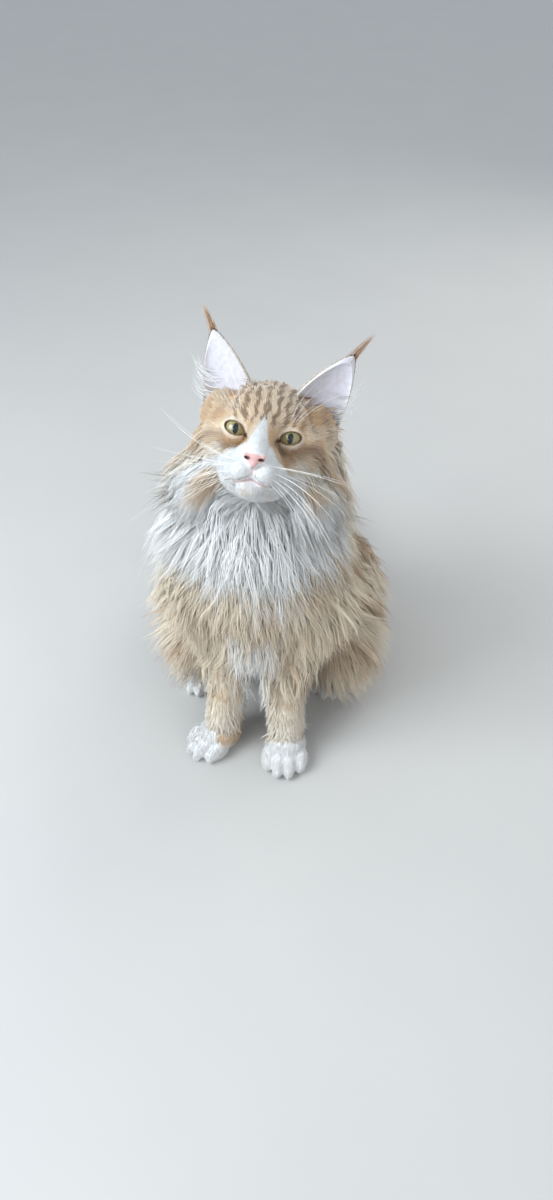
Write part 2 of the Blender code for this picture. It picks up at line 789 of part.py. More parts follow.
def centre(nodes):
    """Moves the origin under the middle of the model's bounding box."""
    points = [v.co for node in nodes for v in node.core.data.vertices]
    middle = Vector([(min(p[i] for p in points) + max(p[i] for p in points)) / 2 for i in range(2)] + [0])
    for node in nodes:
        node.core.data.transform(Matrix.Translation(-middle))


def finish_looks(nodes):
    """Gives each node its coat and smooth shading."""
    for node in nodes:
        node.core.data.materials.clear()
        node.core.data.materials.append(material(node.coat))
        node.core.data.shade_smooth()
        node.core.data.set_sharp_from_angle(angle=math.radians(50))


def build():
    """Makes the whole cat."""
    clear_scene()
    cores = {"head": make_head(), "neck": make_neck(), "torso": make_torso()}
    for word, side in SIDES.items():
        cores["eye_" + word] = eyeball("eye_" + word, side, EYE_RADIUS)
        cores["ear_" + word] = make_ear("ear_" + word, side)
        cores["foreleg_" + word] = make_foreleg("foreleg_" + word, side)
        cores["haunch_" + word] = make_haunch("haunch_" + word, side)
    x = FORELEG_SPACING / 2
    cores["forepaw_left"] = make_paw("forepaw_left", (x, -0.004, 0), 5, 0, PAW_WIDTH, 340)
    cores["forepaw_right"] = make_paw("forepaw_right", (-x - 0.004, 0.000, 0), -42, 0, PAW_WIDTH, 340)
    hind = PAW_WIDTH * 0.88
    cores["hind_paw_left"] = make_paw("hind_paw_left", (0.068, 0.118, 0), 10, 0.080, hind, 280)
    cores["hind_paw_right"] = make_paw("hind_paw_right", (-0.078, 0.096, 0), -12, 0.085, hind, 280)
    cores["tail_base"] = make_tail_length("tail_base", 0.0, 0.36, TAIL_RADIUS * 1.12, TAIL_RADIUS)
    cores["tail_middle"] = make_tail_length("tail_middle", 0.34, 0.68, TAIL_RADIUS, TAIL_RADIUS * 0.9)
    cores["tail_tip"] = make_tail_length("tail_tip", 0.66, 1.0, TAIL_RADIUS * 0.9, TAIL_RADIUS * 0.62)
    trees = {name: surface_of(obj) for name, obj in cores.items()}

    locks = {"head": cheek_locks(cores["head"], [trees["neck"]]),
             "neck": neck_locks(cores["neck"], trees),
             "torso": torso_locks(cores["torso"], trees)}
    for word, side in SIDES.items():
        locks["ear_" + word] = ear_locks(side)
        locks["haunch_" + word] = haunch_locks(cores["haunch_" + word], side, trees)
        locks["foreleg_" + word] = foreleg_locks(cores["foreleg_" + word], side, trees)
    for i, name in enumerate(("tail_base", "tail_middle", "tail_tip")):
        locks[name] = tail_locks(cores[name], i, trees)

    order = [("eye_left", "eye"), ("eye_right", "eye"), ("head", "orange"),
             ("ear_left", "ear"), ("ear_right", "ear"), ("neck", "white"), ("torso", "cream"),
             ("foreleg_left", "cream"), ("foreleg_right", "cream"),
             ("forepaw_left", "white"), ("forepaw_right", "white"),
             ("haunch_left", "orange"), ("haunch_right", "orange"),
             ("hind_paw_left", "white"), ("hind_paw_right", "white"),
             ("tail_base", "orange"), ("tail_middle", "orange"), ("tail_tip", "orange")]
    nodes = [Node(cores[name], coat, locks.get(name, ())) for name, coat in order]
    fuse(nodes)
    level_feet(nodes)
    centre(nodes)
    finish_looks(nodes)


build()
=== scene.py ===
"""Looks of a life-size still model of a long-haired cat of a large breed, sitting and looking up."""
import logging
import math
from collections.abc import Callable
from dataclasses import dataclass, field
from enum import Enum

import bmesh
import bpy
import numpy as np
from mathutils import Euler, Matrix, Vector
from mathutils.bvhtree import BVHTree


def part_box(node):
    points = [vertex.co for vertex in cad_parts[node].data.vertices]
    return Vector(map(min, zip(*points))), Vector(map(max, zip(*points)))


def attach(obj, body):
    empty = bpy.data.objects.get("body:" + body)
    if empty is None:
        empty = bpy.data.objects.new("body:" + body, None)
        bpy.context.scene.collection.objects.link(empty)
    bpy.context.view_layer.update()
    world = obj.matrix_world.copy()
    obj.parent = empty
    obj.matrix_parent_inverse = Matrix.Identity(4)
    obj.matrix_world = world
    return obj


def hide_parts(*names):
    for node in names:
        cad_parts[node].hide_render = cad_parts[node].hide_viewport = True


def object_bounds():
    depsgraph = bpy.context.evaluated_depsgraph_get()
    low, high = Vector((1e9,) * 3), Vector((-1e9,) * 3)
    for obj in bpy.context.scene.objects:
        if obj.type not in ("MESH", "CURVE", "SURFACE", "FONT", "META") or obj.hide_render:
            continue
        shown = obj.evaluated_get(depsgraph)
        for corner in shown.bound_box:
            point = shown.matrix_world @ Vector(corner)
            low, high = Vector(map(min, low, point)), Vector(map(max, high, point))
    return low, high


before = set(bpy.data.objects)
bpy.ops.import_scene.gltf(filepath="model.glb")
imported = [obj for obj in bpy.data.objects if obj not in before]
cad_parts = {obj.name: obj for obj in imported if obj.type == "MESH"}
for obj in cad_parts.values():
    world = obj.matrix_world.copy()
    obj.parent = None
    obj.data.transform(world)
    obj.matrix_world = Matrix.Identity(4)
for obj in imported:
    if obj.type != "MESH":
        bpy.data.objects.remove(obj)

LOG = logging.getLogger("cat")
CAD_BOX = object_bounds()

Triple = tuple[float, float, float]
Colour = tuple[float, float, float]
Array = np.ndarray
Piece = bpy.types.Object

# Sizes shared with the solids, in metres, in the cat's own frame: it faces -Y, with +Z up
EYE_LEVEL = 0.400
EYE_SPACING = 0.047
EYE_RADIUS = 0.0112
LID_OPENING = (0.0085, 0.0100, 0.0053)
LID_TURN = 16
HEAD_WIDTH = 0.084
NECK_RADIUS = 0.056
CHEST_WIDTH = 0.150
HIP_WIDTH = 0.205
FORELEG_SPACING = 0.074
FORELEG_RADIUS = 0.0190
PAW_WIDTH = 0.050
EAR_HEIGHT = 0.064
EAR_WIDTH = 0.049
MOUTH_LINE = ((0.0, -0.0350, -0.0400), (0.008, -0.0335, -0.0428),
              (0.016, -0.0275, -0.0445), (0.0225, -0.0160, -0.0452))
NECK_AXIS = 0.062
HEAD_PLACE = Vector((0.012, 0.014, EYE_LEVEL))
HEAD_TURN = Euler((math.radians(-36), math.radians(9), math.radians(7)), "YXZ")
TAIL_LINE = ((0.000, 0.228, 0.062), (0.006, 0.285, 0.038), (0.014, 0.342, 0.032),
             (-0.010, 0.396, 0.031), (-0.064, 0.424, 0.029), (-0.122, 0.408, 0.025))

# The camera, in the cat's own frame
CAMERA_PLACE = (0.1328, -0.6046, 0.78)
CAMERA_PITCH = 42.0
CAMERA_HEADING = 10.0
CAMERA_LENS = 25.98

# Names of what the meshes carry for the finishes and the export
BAKE_MAP = "OFBake"
STRAND_MAP = "Strand"
MARKING = "Marking"
BARE = "Bare"
GAZE = "Gaze"
PATCH = 0.003
STRAND_SCALE = 60


class Side(Enum):
    """The cat's own sides, with the sign of X."""

    LEFT = 1
    RIGHT = -1


class Zone(Enum):
    """Regions of the skin, with the number that marks their vertices."""

    BODY = 0
    HEAD = 1
    EAR_LEFT = 2
    EAR_RIGHT = 3
    FOREPAWS = 4
    HIND_PAWS = 5


# Arrays of vectors
def unit(rows: Array) -> Array:
    """Each row made one unit long."""
    return rows / np.maximum(np.linalg.norm(rows, axis=-1, keepdims=True), 1e-9)


def dot(first: Array, second: Array) -> Array:
    """The dot product of each pair of rows, as a column."""
    return np.sum(first * second, axis=-1, keepdims=True)


def along(rows: Array, normals: Array) -> Array:
    """The part of each direction that lies along the surface."""
    return unit(rows - normals * dot(rows, normals))


def smooth(low: float, high: float, values: Array) -> Array:
    """A smooth step from 0 at low to 1 at high."""
    share = np.clip((values - low) / (high - low), 0, 1)
    return share * share * (3 - 2 * share)


def mixed(first: Array, second: Array | Colour, share: Array) -> Array:
    """Rows of the first moved towards the second by the share of each."""
    return first + (np.asarray(second) - first) * np.asarray(share)[..., None]


def rows_of(x: Array | float, y: Array | float, z: Array | float) -> Array:
    """Rows of three from columns and single values."""
    return np.stack(np.broadcast_arrays(x, y, z), axis=1)


@dataclass(frozen=True)
class Ripples:
    """A smooth random pattern in space, from -1 to 1."""

    size: float
    seed: int
    waves: int = 9

    def at(self, points: Array) -> Array:
        """The pattern's value at each point.

        Args:
            points: places in space.

        Returns:
            One value a place.
        """
        rng = np.random.default_rng(self.seed)
        turns = unit(rng.normal(size=(self.waves, 3))) * rng.uniform(0.6, 1.6, (self.waves, 1))
        phases = rng.uniform(0, 2 * math.pi, self.waves)
        waves = np.sin(points @ turns.T * (2 * math.pi / self.size) + phases)
        return waves.sum(axis=-1) / math.sqrt(self.waves) * 0.8


# Places
def head_matrix() -> Matrix:
    """Carries the head's own frame to the cat's frame."""
    return Matrix.Translation(HEAD_PLACE) @ HEAD_TURN.to_matrix().to_4x4()


def ear_matrix(side: Side) -> Matrix:
    """Carries an upright ear to its place in the cat's frame.

    Args:
        side: which ear.

    Returns:
        The matrix.
    """
    sign = side.value
    lean = Euler((math.radians(9), math.radians(sign * 22), math.radians(sign * 24)), "XYZ")
    return head_matrix() @ Matrix.Translation((sign * 0.0375, 0.047, 0.0255)) @ lean.to_matrix().to_4x4()


def eye_centre(side: Side) -> Vector:
    """Centre of an eyeball, in the head's frame."""
    return Vector((side.value * EYE_SPACING / 2, 0.0085, 0))


def lid_centre(side: Side) -> Vector:
    """Centre of the opening between the lids, in the head's frame."""
    return eye_centre(side) + Vector((side.value * 0.0006, -0.0085, -0.0001))


def ear_edge(share: Array | float) -> Array | float:
    """Half of an ear's width at that share of its height."""
    return EAR_WIDTH / 2 * (1 - share ** 1.7) ** 0.85


def mouth_height(wide: Array) -> Array:
    """Height of the mouth's line that far from the middle, in the head's frame."""
    across, _, height = zip(*MOUTH_LINE)
    return np.interp(wide, across, height)


def moved(points: Array, matrix: Matrix) -> Array:
    """Points carried by a matrix."""
    grid = np.array(matrix)
    return points @ grid[:3, :3].T + grid[:3, 3]


def turned(rows: Array, matrix: Matrix) -> Array:
    """Directions turned by a matrix."""
    return rows @ np.array(matrix)[:3, :3].T


def find_offset() -> Vector:
    """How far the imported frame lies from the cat's own frame."""
    low, high = (Vector(corner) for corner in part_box("eye_left"))
    return (low + high) / 2 - head_matrix() @ eye_centre(Side.LEFT)


OFFSET = find_offset()


def held(points: Array, margin: float) -> Array:
    """Draws hair back towards the solids' box.

    Args:
        points: places in the cat's frame.
        margin: how far hair may stand out of the box.

    Returns:
        The points, of which those outside are drawn in smoothly to less than the margin.
    """
    low, high = (np.array(corner) - np.array(OFFSET) for corner in CAD_BOX)
    over, under = np.maximum(points - high, 0), np.maximum(low - points, 0)
    return np.clip(points, low, high) + margin * (np.tanh(over / margin) - np.tanh(under / margin))


# Shaders
def operator(operation: str) -> Callable[["Value", "Value | float"], "Value"]:
    """An operator between values, which adds a Math node."""
    return lambda value, other: value.maths(operation, other)


@dataclass
class Value:
    """A node's output, on which sums can be written."""

    graph: "Graph"
    socket: bpy.types.NodeSocket

    __add__ = __radd__ = operator("ADD")
    __mul__ = __rmul__ = operator("MULTIPLY")
    __sub__ = operator("SUBTRACT")
    __truediv__ = operator("DIVIDE")
    __pow__ = operator("POWER")

    def __rsub__(self, other: float) -> "Value":
        """This value taken from a number."""
        return self * -1.0 + other

    def maths(self, operation: str, *others: "Value | float") -> "Value":
        """A Math node on this value and the others."""
        values = dict(enumerate((self, *others)))
        return self.graph.node("ShaderNodeMath", {"operation": operation}, values)

    def step(self, low: float, high: float) -> "Value":
        """A smooth step from 0 at low to 1 at high."""
        return self.graph.node("ShaderNodeMapRange", {"interpolation_type": "SMOOTHSTEP"},
                               {"Value": self, "From Min": low, "From Max": high})


class Graph:
    """The nodes of one material round its Principled shader."""

    def __init__(self, name: str) -> None:
        """Starts a material of that name.

        Args:
            name: the material's name.
        """
        self.material = bpy.data.materials.new(name)
        self.material.use_nodes = True
        self.tree = self.material.node_tree
        self.shader = self.tree.nodes["Principled BSDF"]

    def feed(self, socket: bpy.types.NodeSocket, value: object) -> None:
        """Links or sets a socket.

        Args:
            socket: an input of a node.
            value: an output to link, or a number, colour or vector to set.
        """
        if isinstance(value, Value):
            self.tree.links.new(value.socket, socket)
        elif isinstance(value, (tuple, list)) and len(value) == 3 and socket.type == "RGBA":
            socket.default_value = (*value, 1.0)
        else:
            socket.default_value = value

    def node(self, kind: str, settings: dict[str, object], inputs: dict[object, object],
             output: str | int = 0) -> Value:
        """Adds a node.

        Args:
            kind: the node's type.
            settings: its own settings, set before its sockets.
            inputs: values or links of its sockets, by name or number.
            output: which output is wanted.

        Returns:
            That output.
        """
        made = self.tree.nodes.new(kind)
        for name, value in settings.items():
            setattr(made, name, value)
        for key, value in inputs.items():
            self.feed(made.inputs[key], value)
        return Value(self, made.outputs[output])

    def colour_mix(self, first: object, second: object, share: object) -> Value:
        """One colour mixed into another, through the sockets that a Mix node has for colours."""
        factor, start, end, result = 0, 6, 7, 2
        return self.node("ShaderNodeMix", {"data_type": "RGBA"},
                         {factor: share, start: first, end: second}, result)

    def attribute(self, name: str, output: str = "Color") -> Value:
        """A value kept on the mesh."""
        return self.node("ShaderNodeAttribute", {"attribute_name": name}, {}, output)

    def place(self) -> Value:
        """The point on the piece."""
        return self.node("ShaderNodeTexCoord", {}, {}, "Object")

    def noise(self, vector: Value, scale: float, detail: float = 3.0) -> Value:
        """A fine random pattern from 0 to 1."""
        return self.node("ShaderNodeTexNoise", {}, {"Vector": vector, "Scale": scale, "Detail": detail})

    def bump(self, height: Value, depth: float, strength: float) -> None:
        """Raises the surface by a pattern."""
        inputs = {"Height": height, "Distance": depth, "Strength": strength}
        self.dress({"Normal": self.node("ShaderNodeBump", {}, inputs)})

    def dress(self, inputs: dict[str, object]) -> None:
        """Sets or links sockets of the shader itself."""
        for name, value in inputs.items():
            self.feed(self.shader.inputs[name], value)


@dataclass(frozen=True)
class CoatFinish:
    """Hair, coloured by its markings, with fine streaks along each lock."""

    name: str
    roughness: float = 0.62
    sheen: float = 0.25
    streaks: float = 0.11

    def material(self) -> bpy.types.Material:
        """The finish as a material.

        Returns:
            The material.
        """
        graph = Graph(self.name)
        strand = graph.node("ShaderNodeUVMap", {"uv_map": STRAND_MAP}, {}, "UV")
        stretch = graph.node("ShaderNodeMapping", {}, {"Vector": strand, "Scale": (1.0, 0.12, 1.0)})
        streak = graph.noise(stretch, 6.0, 4.0)
        marking = graph.attribute(MARKING)
        shade = graph.colour_mix(marking, (0.30, 0.22, 0.17), streak.step(0.62, 0.30) * self.streaks)
        lifted = graph.colour_mix(shade, (0.95, 0.92, 0.87), streak.step(0.55, 0.80) * (self.streaks * 0.8))
        graph.dress({"Base Color": lifted, "Roughness": streak * 0.22 + (self.roughness - 0.11),
                     "Specular IOR Level": 0.32, "Sheen Weight": self.sheen, "Sheen Roughness": 0.45,
                     "Sheen Tint": (1.0, 0.96, 0.90, 1.0), "Subsurface Weight": 0.22,
                     "Subsurface Radius": (1.0, 0.7, 0.5), "Subsurface Scale": 0.006})
        graph.bump(streak, 0.00025, 0.5)
        return graph.material


@dataclass(frozen=True)
class SkinFinish:
    """The skin below the coat, matt where hair covers it and moist where it is bare."""

    name: str

    def material(self) -> bpy.types.Material:
        """The finish as a material.

        Returns:
            The material.
        """
        graph = Graph(self.name)
        place = graph.place()
        fine = graph.noise(place, 1600.0, 4.0)
        broad = graph.noise(place, 240.0, 3.0)
        bare = graph.attribute(BARE, "Fac")
        marking = graph.attribute(MARKING)
        shade = graph.colour_mix(marking, (0.24, 0.15, 0.10), broad.step(0.62, 0.30) * 0.16)
        grain = graph.colour_mix(shade, (0.95, 0.90, 0.84), fine.step(0.52, 0.75) * 0.14)
        graph.dress({"Base Color": grain, "Roughness": 0.74 - bare * 0.34, "Specular IOR Level": 0.35,
                     "Sheen Weight": 0.12})
        graph.bump(fine + broad * 0.6, 0.0003, 0.45)
        return graph.material


@dataclass(frozen=True)
class WhiskerFinish:
    """Stiff white hair with a soft gloss."""

    name: str

    def material(self) -> bpy.types.Material:
        """The finish as a material.

        Returns:
            The material.
        """
        graph = Graph(self.name)
        flow = graph.noise(graph.place(), 900.0)
        colour = graph.colour_mix((0.93, 0.91, 0.87), (0.78, 0.73, 0.66), flow.step(0.4, 0.7))
        graph.dress({"Base Color": colour, "Roughness": flow * 0.15 + 0.28, "Specular IOR Level": 0.5})
        return graph.material


@dataclass(frozen=True)
class EyeFinish:
    """A golden iris with fine spokes, an upright pupil and a clear wet coat."""

    name: str
    iris: float = 0.80
    pupil: tuple[float, float] = (0.215, 0.390)

    def material(self) -> bpy.types.Material:
        """The finish as a material, which reads the eye's own place on its mesh.

        Returns:
            The material.
        """
        graph = Graph(self.name)
        gaze = graph.attribute(GAZE, "Vector")
        across, height = (graph.node("ShaderNodeSeparateXYZ", {}, {"Vector": gaze}, axis) for axis in "XZ")
        radius = (across * across + height * height) ** 0.5
        share = radius / self.iris
        angle = height.maths("ARCTAN2", across)
        spokes_place = graph.node("ShaderNodeCombineXYZ", {}, {"X": angle * 6.0, "Y": share * 1.6})
        spokes = graph.noise(spokes_place, 2.4, 5.0)
        slit = ((across / self.pupil[0]) ** 2.0 + (height / self.pupil[1]) ** 2.0) ** 0.5
        ring = graph.colour_mix((0.235, 0.225, 0.105), (0.36, 0.275, 0.105), share.step(0.35, 0.95))
        flecked = graph.colour_mix(ring, (0.23, 0.13, 0.025), spokes.step(0.48, 0.70) * 0.62)
        glow = graph.colour_mix(flecked, (0.50, 0.46, 0.27), spokes.step(0.50, 0.28) * 0.40)
        rimmed = graph.colour_mix(glow, (0.075, 0.040, 0.018), share.step(0.86, 1.0) * 0.92)
        white = graph.colour_mix(rimmed, (0.42, 0.33, 0.29), share.step(1.03, 1.12))
        pupil = graph.colour_mix((0.006, 0.006, 0.008), white, slit.step(0.93, 1.06))
        graph.dress({"Base Color": pupil, "Roughness": 0.16, "Coat Weight": 1.0, "Coat Roughness": 0.015,
                     "Coat IOR": 1.38, "Specular IOR Level": 0.4})
        graph.bump(spokes, 0.0002, 0.15)
        return graph.material


@dataclass(frozen=True)
class FloorFinish:
    """A plain pale studio floor."""

    name: str

    def material(self) -> bpy.types.Material:
        """The finish as a material.

        Returns:
            The material.
        """
        graph = Graph(self.name)
        cloud = graph.noise(graph.place(), 5.0)
        colour = graph.colour_mix((0.50, 0.485, 0.465), (0.54, 0.525, 0.50), cloud)
        graph.dress({"Base Color": colour, "Roughness": cloud * 0.08 + 0.58, "Specular IOR Level": 0.25})
        return graph.material


# Meshes
def add_object(name: str, data: bpy.types.ID) -> Piece:
    """Adds an object to the scene.

    Args:
        name: its name.
        data: its mesh, lamp or camera.

    Returns:
        The object.
    """
    made = bpy.data.objects.new(name, data)
    bpy.context.scene.collection.objects.link(made)
    return made


def new_object(name: str, bm: bmesh.types.BMesh) -> Piece:
    """Makes an object from a bmesh, which is freed.

    Args:
        name: its name.
        bm: its form.

    Returns:
        The object.
    """
    mesh = bpy.data.meshes.new(name)
    bm.to_mesh(mesh)
    bm.free()
    return add_object(name, mesh)


def triangle_mesh(name: str, points: Array, faces: Array) -> bpy.types.Mesh:
    """Makes a mesh of triangles.

    Args:
        name: its name.
        points: places of its vertices.
        faces: the three vertices of each triangle.

    Returns:
        The mesh.
    """
    mesh = bpy.data.meshes.new(name)
    mesh.vertices.add(len(points))
    mesh.vertices.foreach_set("co", points.ravel())
    mesh.loops.add(faces.size)
    mesh.loops.foreach_set("vertex_index", faces.ravel())
    mesh.polygons.add(len(faces))
    mesh.polygons.foreach_set("loop_start", np.arange(0, faces.size, 3))
    mesh.update(calc_edges=True)
    return mesh


def mark(mesh: bpy.types.Mesh, colours: Array) -> None:
    """Keeps a colour for each vertex of a mesh."""
    layer = mesh.color_attributes.new(MARKING, "FLOAT_COLOR", "POINT")
    layer.data.foreach_set("color", np.hstack([colours, np.ones((len(colours), 1))]).ravel())


def apply_modifiers(piece: Piece) -> None:
    """Replaces the object's mesh by its evaluated one.

    Args:
        piece: the object.
    """
    bpy.context.view_layer.update()
    graph = bpy.context.evaluated_depsgraph_get()
    mesh = bpy.data.meshes.new_from_object(piece.evaluated_get(graph))
    old = piece.data
    piece.modifiers.clear()
    piece.data = mesh
    bpy.data.meshes.remove(old)


def surface_of(piece: Piece) -> BVHTree:
    """A search tree of the object's surface.

    Args:
        piece: the object.

    Returns:
        The tree.
    """
    mesh = piece.data
    mesh.calc_loop_triangles()
    return BVHTree.FromPolygons([v.co for v in mesh.vertices],
                                [tuple(t.vertices) for t in mesh.loop_triangles])


def combine(piece: Piece, other: Piece, operation: str) -> None:
    """Joins another closed mesh to a piece, or cuts it away.

    Args:
        piece: the object that is changed.
        other: the object that is used up and removed.
        operation: UNION or DIFFERENCE.
    """
    boolean = piece.modifiers.new("Join", "BOOLEAN")
    boolean.operation, boolean.object, boolean.solver = operation, other, "MANIFOLD"
    apply_modifiers(piece)
    bpy.data.objects.remove(other)


def on_curve(points: list[Vector], share: float) -> Vector:
    """A point of a smooth curve through others.

    Args:
        points: what the curve runs through.
        share: how far along it, from 0 to 1.

    Returns:
        The point there.
    """
    last = len(points) - 1
    place = min(max(share, 0), 1) * last
    index = min(int(place), last - 1)
    t = place - index
    p1, p2 = points[index], points[index + 1]
    p0 = points[index - 1] if index > 0 else p1 * 2 - p2
    p3 = points[index + 2] if index + 2 <= last else p2 * 2 - p1
    a, b, c = (p2 - p0) / 2, (p0 * 2 - p1 * 5 + p2 * 4 - p3) / 2, (p1 * 3 - p0 - p2 * 3 + p3) / 2
    return p1 + a * t + b * t * t + c * t ** 3


class Forms:
    """Overlapping round forms, drawn in by the depth of the coat, that melt into one skin."""

    def __init__(self, inset: float = 0.0) -> None:
        """Starts without forms; the inset is the depth of the coat."""
        self.bm = bmesh.new()
        self.inset = inset

    def ball(self, centre: Triple | Vector, radii: Triple | float, turn: Triple = (0, 0, 0),
             detail: int = 3, inset: float | None = None) -> None:
        """Adds an ellipsoid.

        Args:
            centre: its place.
            radii: one for each axis, or one for all.
            turn: its Euler angles in degrees.
            detail: how often its faces are divided.
            inset: how far it is drawn in, where that isn't the forms' own inset.
        """
        less = self.inset if inset is None else inset
        sizes = (radii, radii, radii) if isinstance(radii, (int, float)) else radii
        matrix = Matrix.Translation(Vector(centre))
        matrix = matrix @ Euler([math.radians(a) for a in turn]).to_matrix().to_4x4()
        matrix = matrix @ Matrix.Diagonal((*(size - less for size in sizes), 1))
        bmesh.ops.create_icosphere(self.bm, subdivisions=detail, radius=1, matrix=matrix)

    def limb(self, points: list[Triple], radii: list[float], beads: int, detail: int = 3,
             tree: BVHTree | None = None) -> None:
        """Adds a row of balls along a smooth curve.

        Args:
            points: what the curve runs through.
            radii: sizes of the balls, which run smoothly through these.
            beads: how many balls.
            detail: how often the faces of each are divided.
            tree: a surface to which their middles are moved, if any.
        """
        line = [Vector(p) for p in points]
        sizes = [Vector((r, 0, 0)) for r in radii]
        for i in range(beads):
            share = i / (beads - 1)
            place = on_curve(line, share)
            if tree is not None:
                place = tree.find_nearest(place)[0]
            self.ball(place, on_curve(sizes, share).x, detail=detail)

    def take(self, piece: Piece) -> None:
        """Takes in the mesh of a piece, which is removed."""
        self.bm.from_mesh(piece.data)
        bpy.data.objects.remove(piece)

    def melt(self, name: str, voxel: float, rounds: int) -> Piece:
        """Melts the forms into one smooth closed skin.

        Args:
            name: the piece's name.
            voxel: size of its faces.
            rounds: how often it is smoothed.

        Returns:
            The piece.
        """
        piece = new_object(name, self.bm)
        remesh = piece.modifiers.new("Melt", "REMESH")
        remesh.mode, remesh.voxel_size = "VOXEL", voxel
        relax = piece.modifiers.new("Relax", "SMOOTH")
        relax.factor, relax.iterations = 0.5, rounds
        apply_modifiers(piece)
        return piece


@dataclass
class HeadSkin:
    """Skull, cheeks, muzzle, lids, nose and mouth, in the head's own frame."""

    inset: float = 0.0010
    voxel: float = 0.0012
    skull_voxel: float = 0.0022
    hollow_voxel: float = 0.00042
    lid: float = 0.0015

    def skull(self) -> Piece:
        """The broad forms of the head.

        Returns:
            The piece.
        """
        half = HEAD_WIDTH / 2
        forms = Forms(self.inset)
        forms.ball((0, 0.052, 0.006), (half, 0.050, 0.043))
        forms.ball((0, 0.022, 0.012), (half * 0.86, 0.030, 0.030))
        forms.ball((0, 0.085, -0.020), (half * 0.95, 0.036, 0.040))
        forms.ball((0, -0.006, -0.027), (0.0225, 0.031, 0.0225))
        forms.ball((0, 0.020, -0.034), (0.034, 0.044, 0.024))
        for side in Side:
            x = side.value
            forms.ball((x * 0.0330, 0.036, -0.010), (0.0225, 0.036, 0.030))
            forms.ball((x * 0.0390, 0.050, -0.030), (0.0220, 0.034, 0.030))
            forms.ball((x * 0.0390, 0.050, 0.010), (0.0200, 0.026, 0.0250))
        return forms.melt("skull", self.skull_voxel, 22)

    def face(self) -> Piece:
        """The skull with the forms of the face melted in.

        Returns:
            The piece.
        """
        forms = Forms(self.inset * 0.6)
        forms.take(self.skull())
        forms.limb([(0, 0.004, 0.007), (0, -0.016, -0.006), (0, -0.034, -0.0180)],
                   [0.0150, 0.0108, 0.0080], beads=15)
        forms.ball((0, -0.0372, -0.0222), (0.0094, 0.0058, 0.0060))
        forms.ball((0, -0.0378, -0.0272), (0.0046, 0.0048, 0.0050))
        forms.ball((0, -0.0180, -0.0475), (0.0128, 0.0125, 0.0082))
        for side in Side:
            x = side.value
            forms.ball((x * 0.0095, -0.0245, -0.0335), (0.0122, 0.0142, 0.0110), turn=(0, x * 20, 0))
            forms.ball((x * 0.0150, -0.0130, -0.0340), (0.0125, 0.0180, 0.0125))
            forms.ball(eye_centre(side), EYE_RADIUS + self.lid, inset=0)
            forms.ball((x * 0.0220, 0.008, 0.0118), (0.0125, 0.0085, 0.0054), turn=(0, x * -12, 0))
            forms.ball((x * 0.0068, -0.0395, -0.0225), (0.0030, 0.0034, 0.0036), turn=(0, 0, x * 20))
        return forms.melt("head", self.voxel, 4)

    def hollows(self, tree: BVHTree) -> Piece:
        """The openings of the lids, the nostrils and the mouth, as one cutter.

        Args:
            tree: the surface of the head.

        Returns:
            The cutter.
        """
        forms = Forms()
        for side in Side:
            x = side.value
            forms.ball(lid_centre(side), LID_OPENING, turn=(0, x * -LID_TURN, 0), detail=4)
            inner = eye_centre(side) + Vector((x * -0.0088, -0.0074, -0.0034))
            forms.ball(inner, (0.0036, 0.0050, 0.0017), turn=(0, x * -38, 0))
            forms.ball((x * 0.0055, -0.0425, -0.0240), (0.0025, 0.0038, 0.0011), turn=(0, x * -30, x * -20))
            forms.limb([(x * across, y, z) for across, y, z in MOUTH_LINE],
                       [0.0013, 0.0012, 0.0011, 0.0007], 60, 1, tree)
        forms.limb([(0, -0.0420, -0.0305), (0, -0.0395, -0.0350), MOUTH_LINE[0]],
                   [0.0006, 0.0008, 0.0011], 26, 1, tree)
        return forms.melt("hollows", self.hollow_voxel, 1)

    def build(self) -> Piece:
        """The whole head, in the cat's frame.

        Returns:
            The piece.
        """
        head = self.face()
        combine(head, self.hollows(surface_of(head)), "DIFFERENCE")
        head.data.transform(head_matrix())
        return head


@dataclass
class EarSkin:
    """An ear as a thin cup that opens forwards."""

    side: Side
    voxel: float = 0.00105

    def shell(self, bm: bmesh.types.BMesh, scale: float, shift: float, base: float) -> None:
        """Draws a ring up into a tall curved cone.

        Args:
            bm: takes the shell.
            scale: its size as a share of the ear's.
            shift: how far back it lies.
            base: height of its foot.
        """
        rings = 18
        ring = bmesh.ops.create_circle(bm, cap_ends=True, radius=1, segments=40)["verts"]
        face = ring[0].link_faces[0]
        for i in range(rings):
            if i:
                face = bmesh.ops.extrude_discrete_faces(bm, faces=[face])["faces"][0]
            share = i / (rings - 1)
            wide = ear_edge(share) * scale + 0.0010
            deep = 0.0135 * (1 - share ** 1.3) * scale + 0.0010
            height = base + (EAR_HEIGHT * scale - base) * share
            for k, vert in enumerate(face.verts):
                angle = 2 * math.pi * k / len(face.verts)
                vert.co = Vector((wide * math.cos(angle), deep * math.sin(angle) + shift, height))
        bmesh.ops.holes_fill(bm, edges=bm.edges, sides=0)
        bmesh.ops.recalc_face_normals(bm, faces=bm.faces)

    def build(self) -> Piece:
        """The ear, in the cat's frame.

        Returns:
            The piece.
        """
        outer, cup = Forms(), Forms()
        self.shell(outer.bm, 0.995, 0.0, -0.004)
        self.shell(cup.bm, 0.93, -0.0050, 0.002)
        self.shell(cup.bm, 0.915, -0.0120, 0.002)
        ear = outer.melt(f"ear_{self.side.name.lower()}", self.voxel, 2)
        combine(ear, cup.melt("cup", self.voxel, 2), "DIFFERENCE")
        ear.data.transform(ear_matrix(self.side))
        return ear


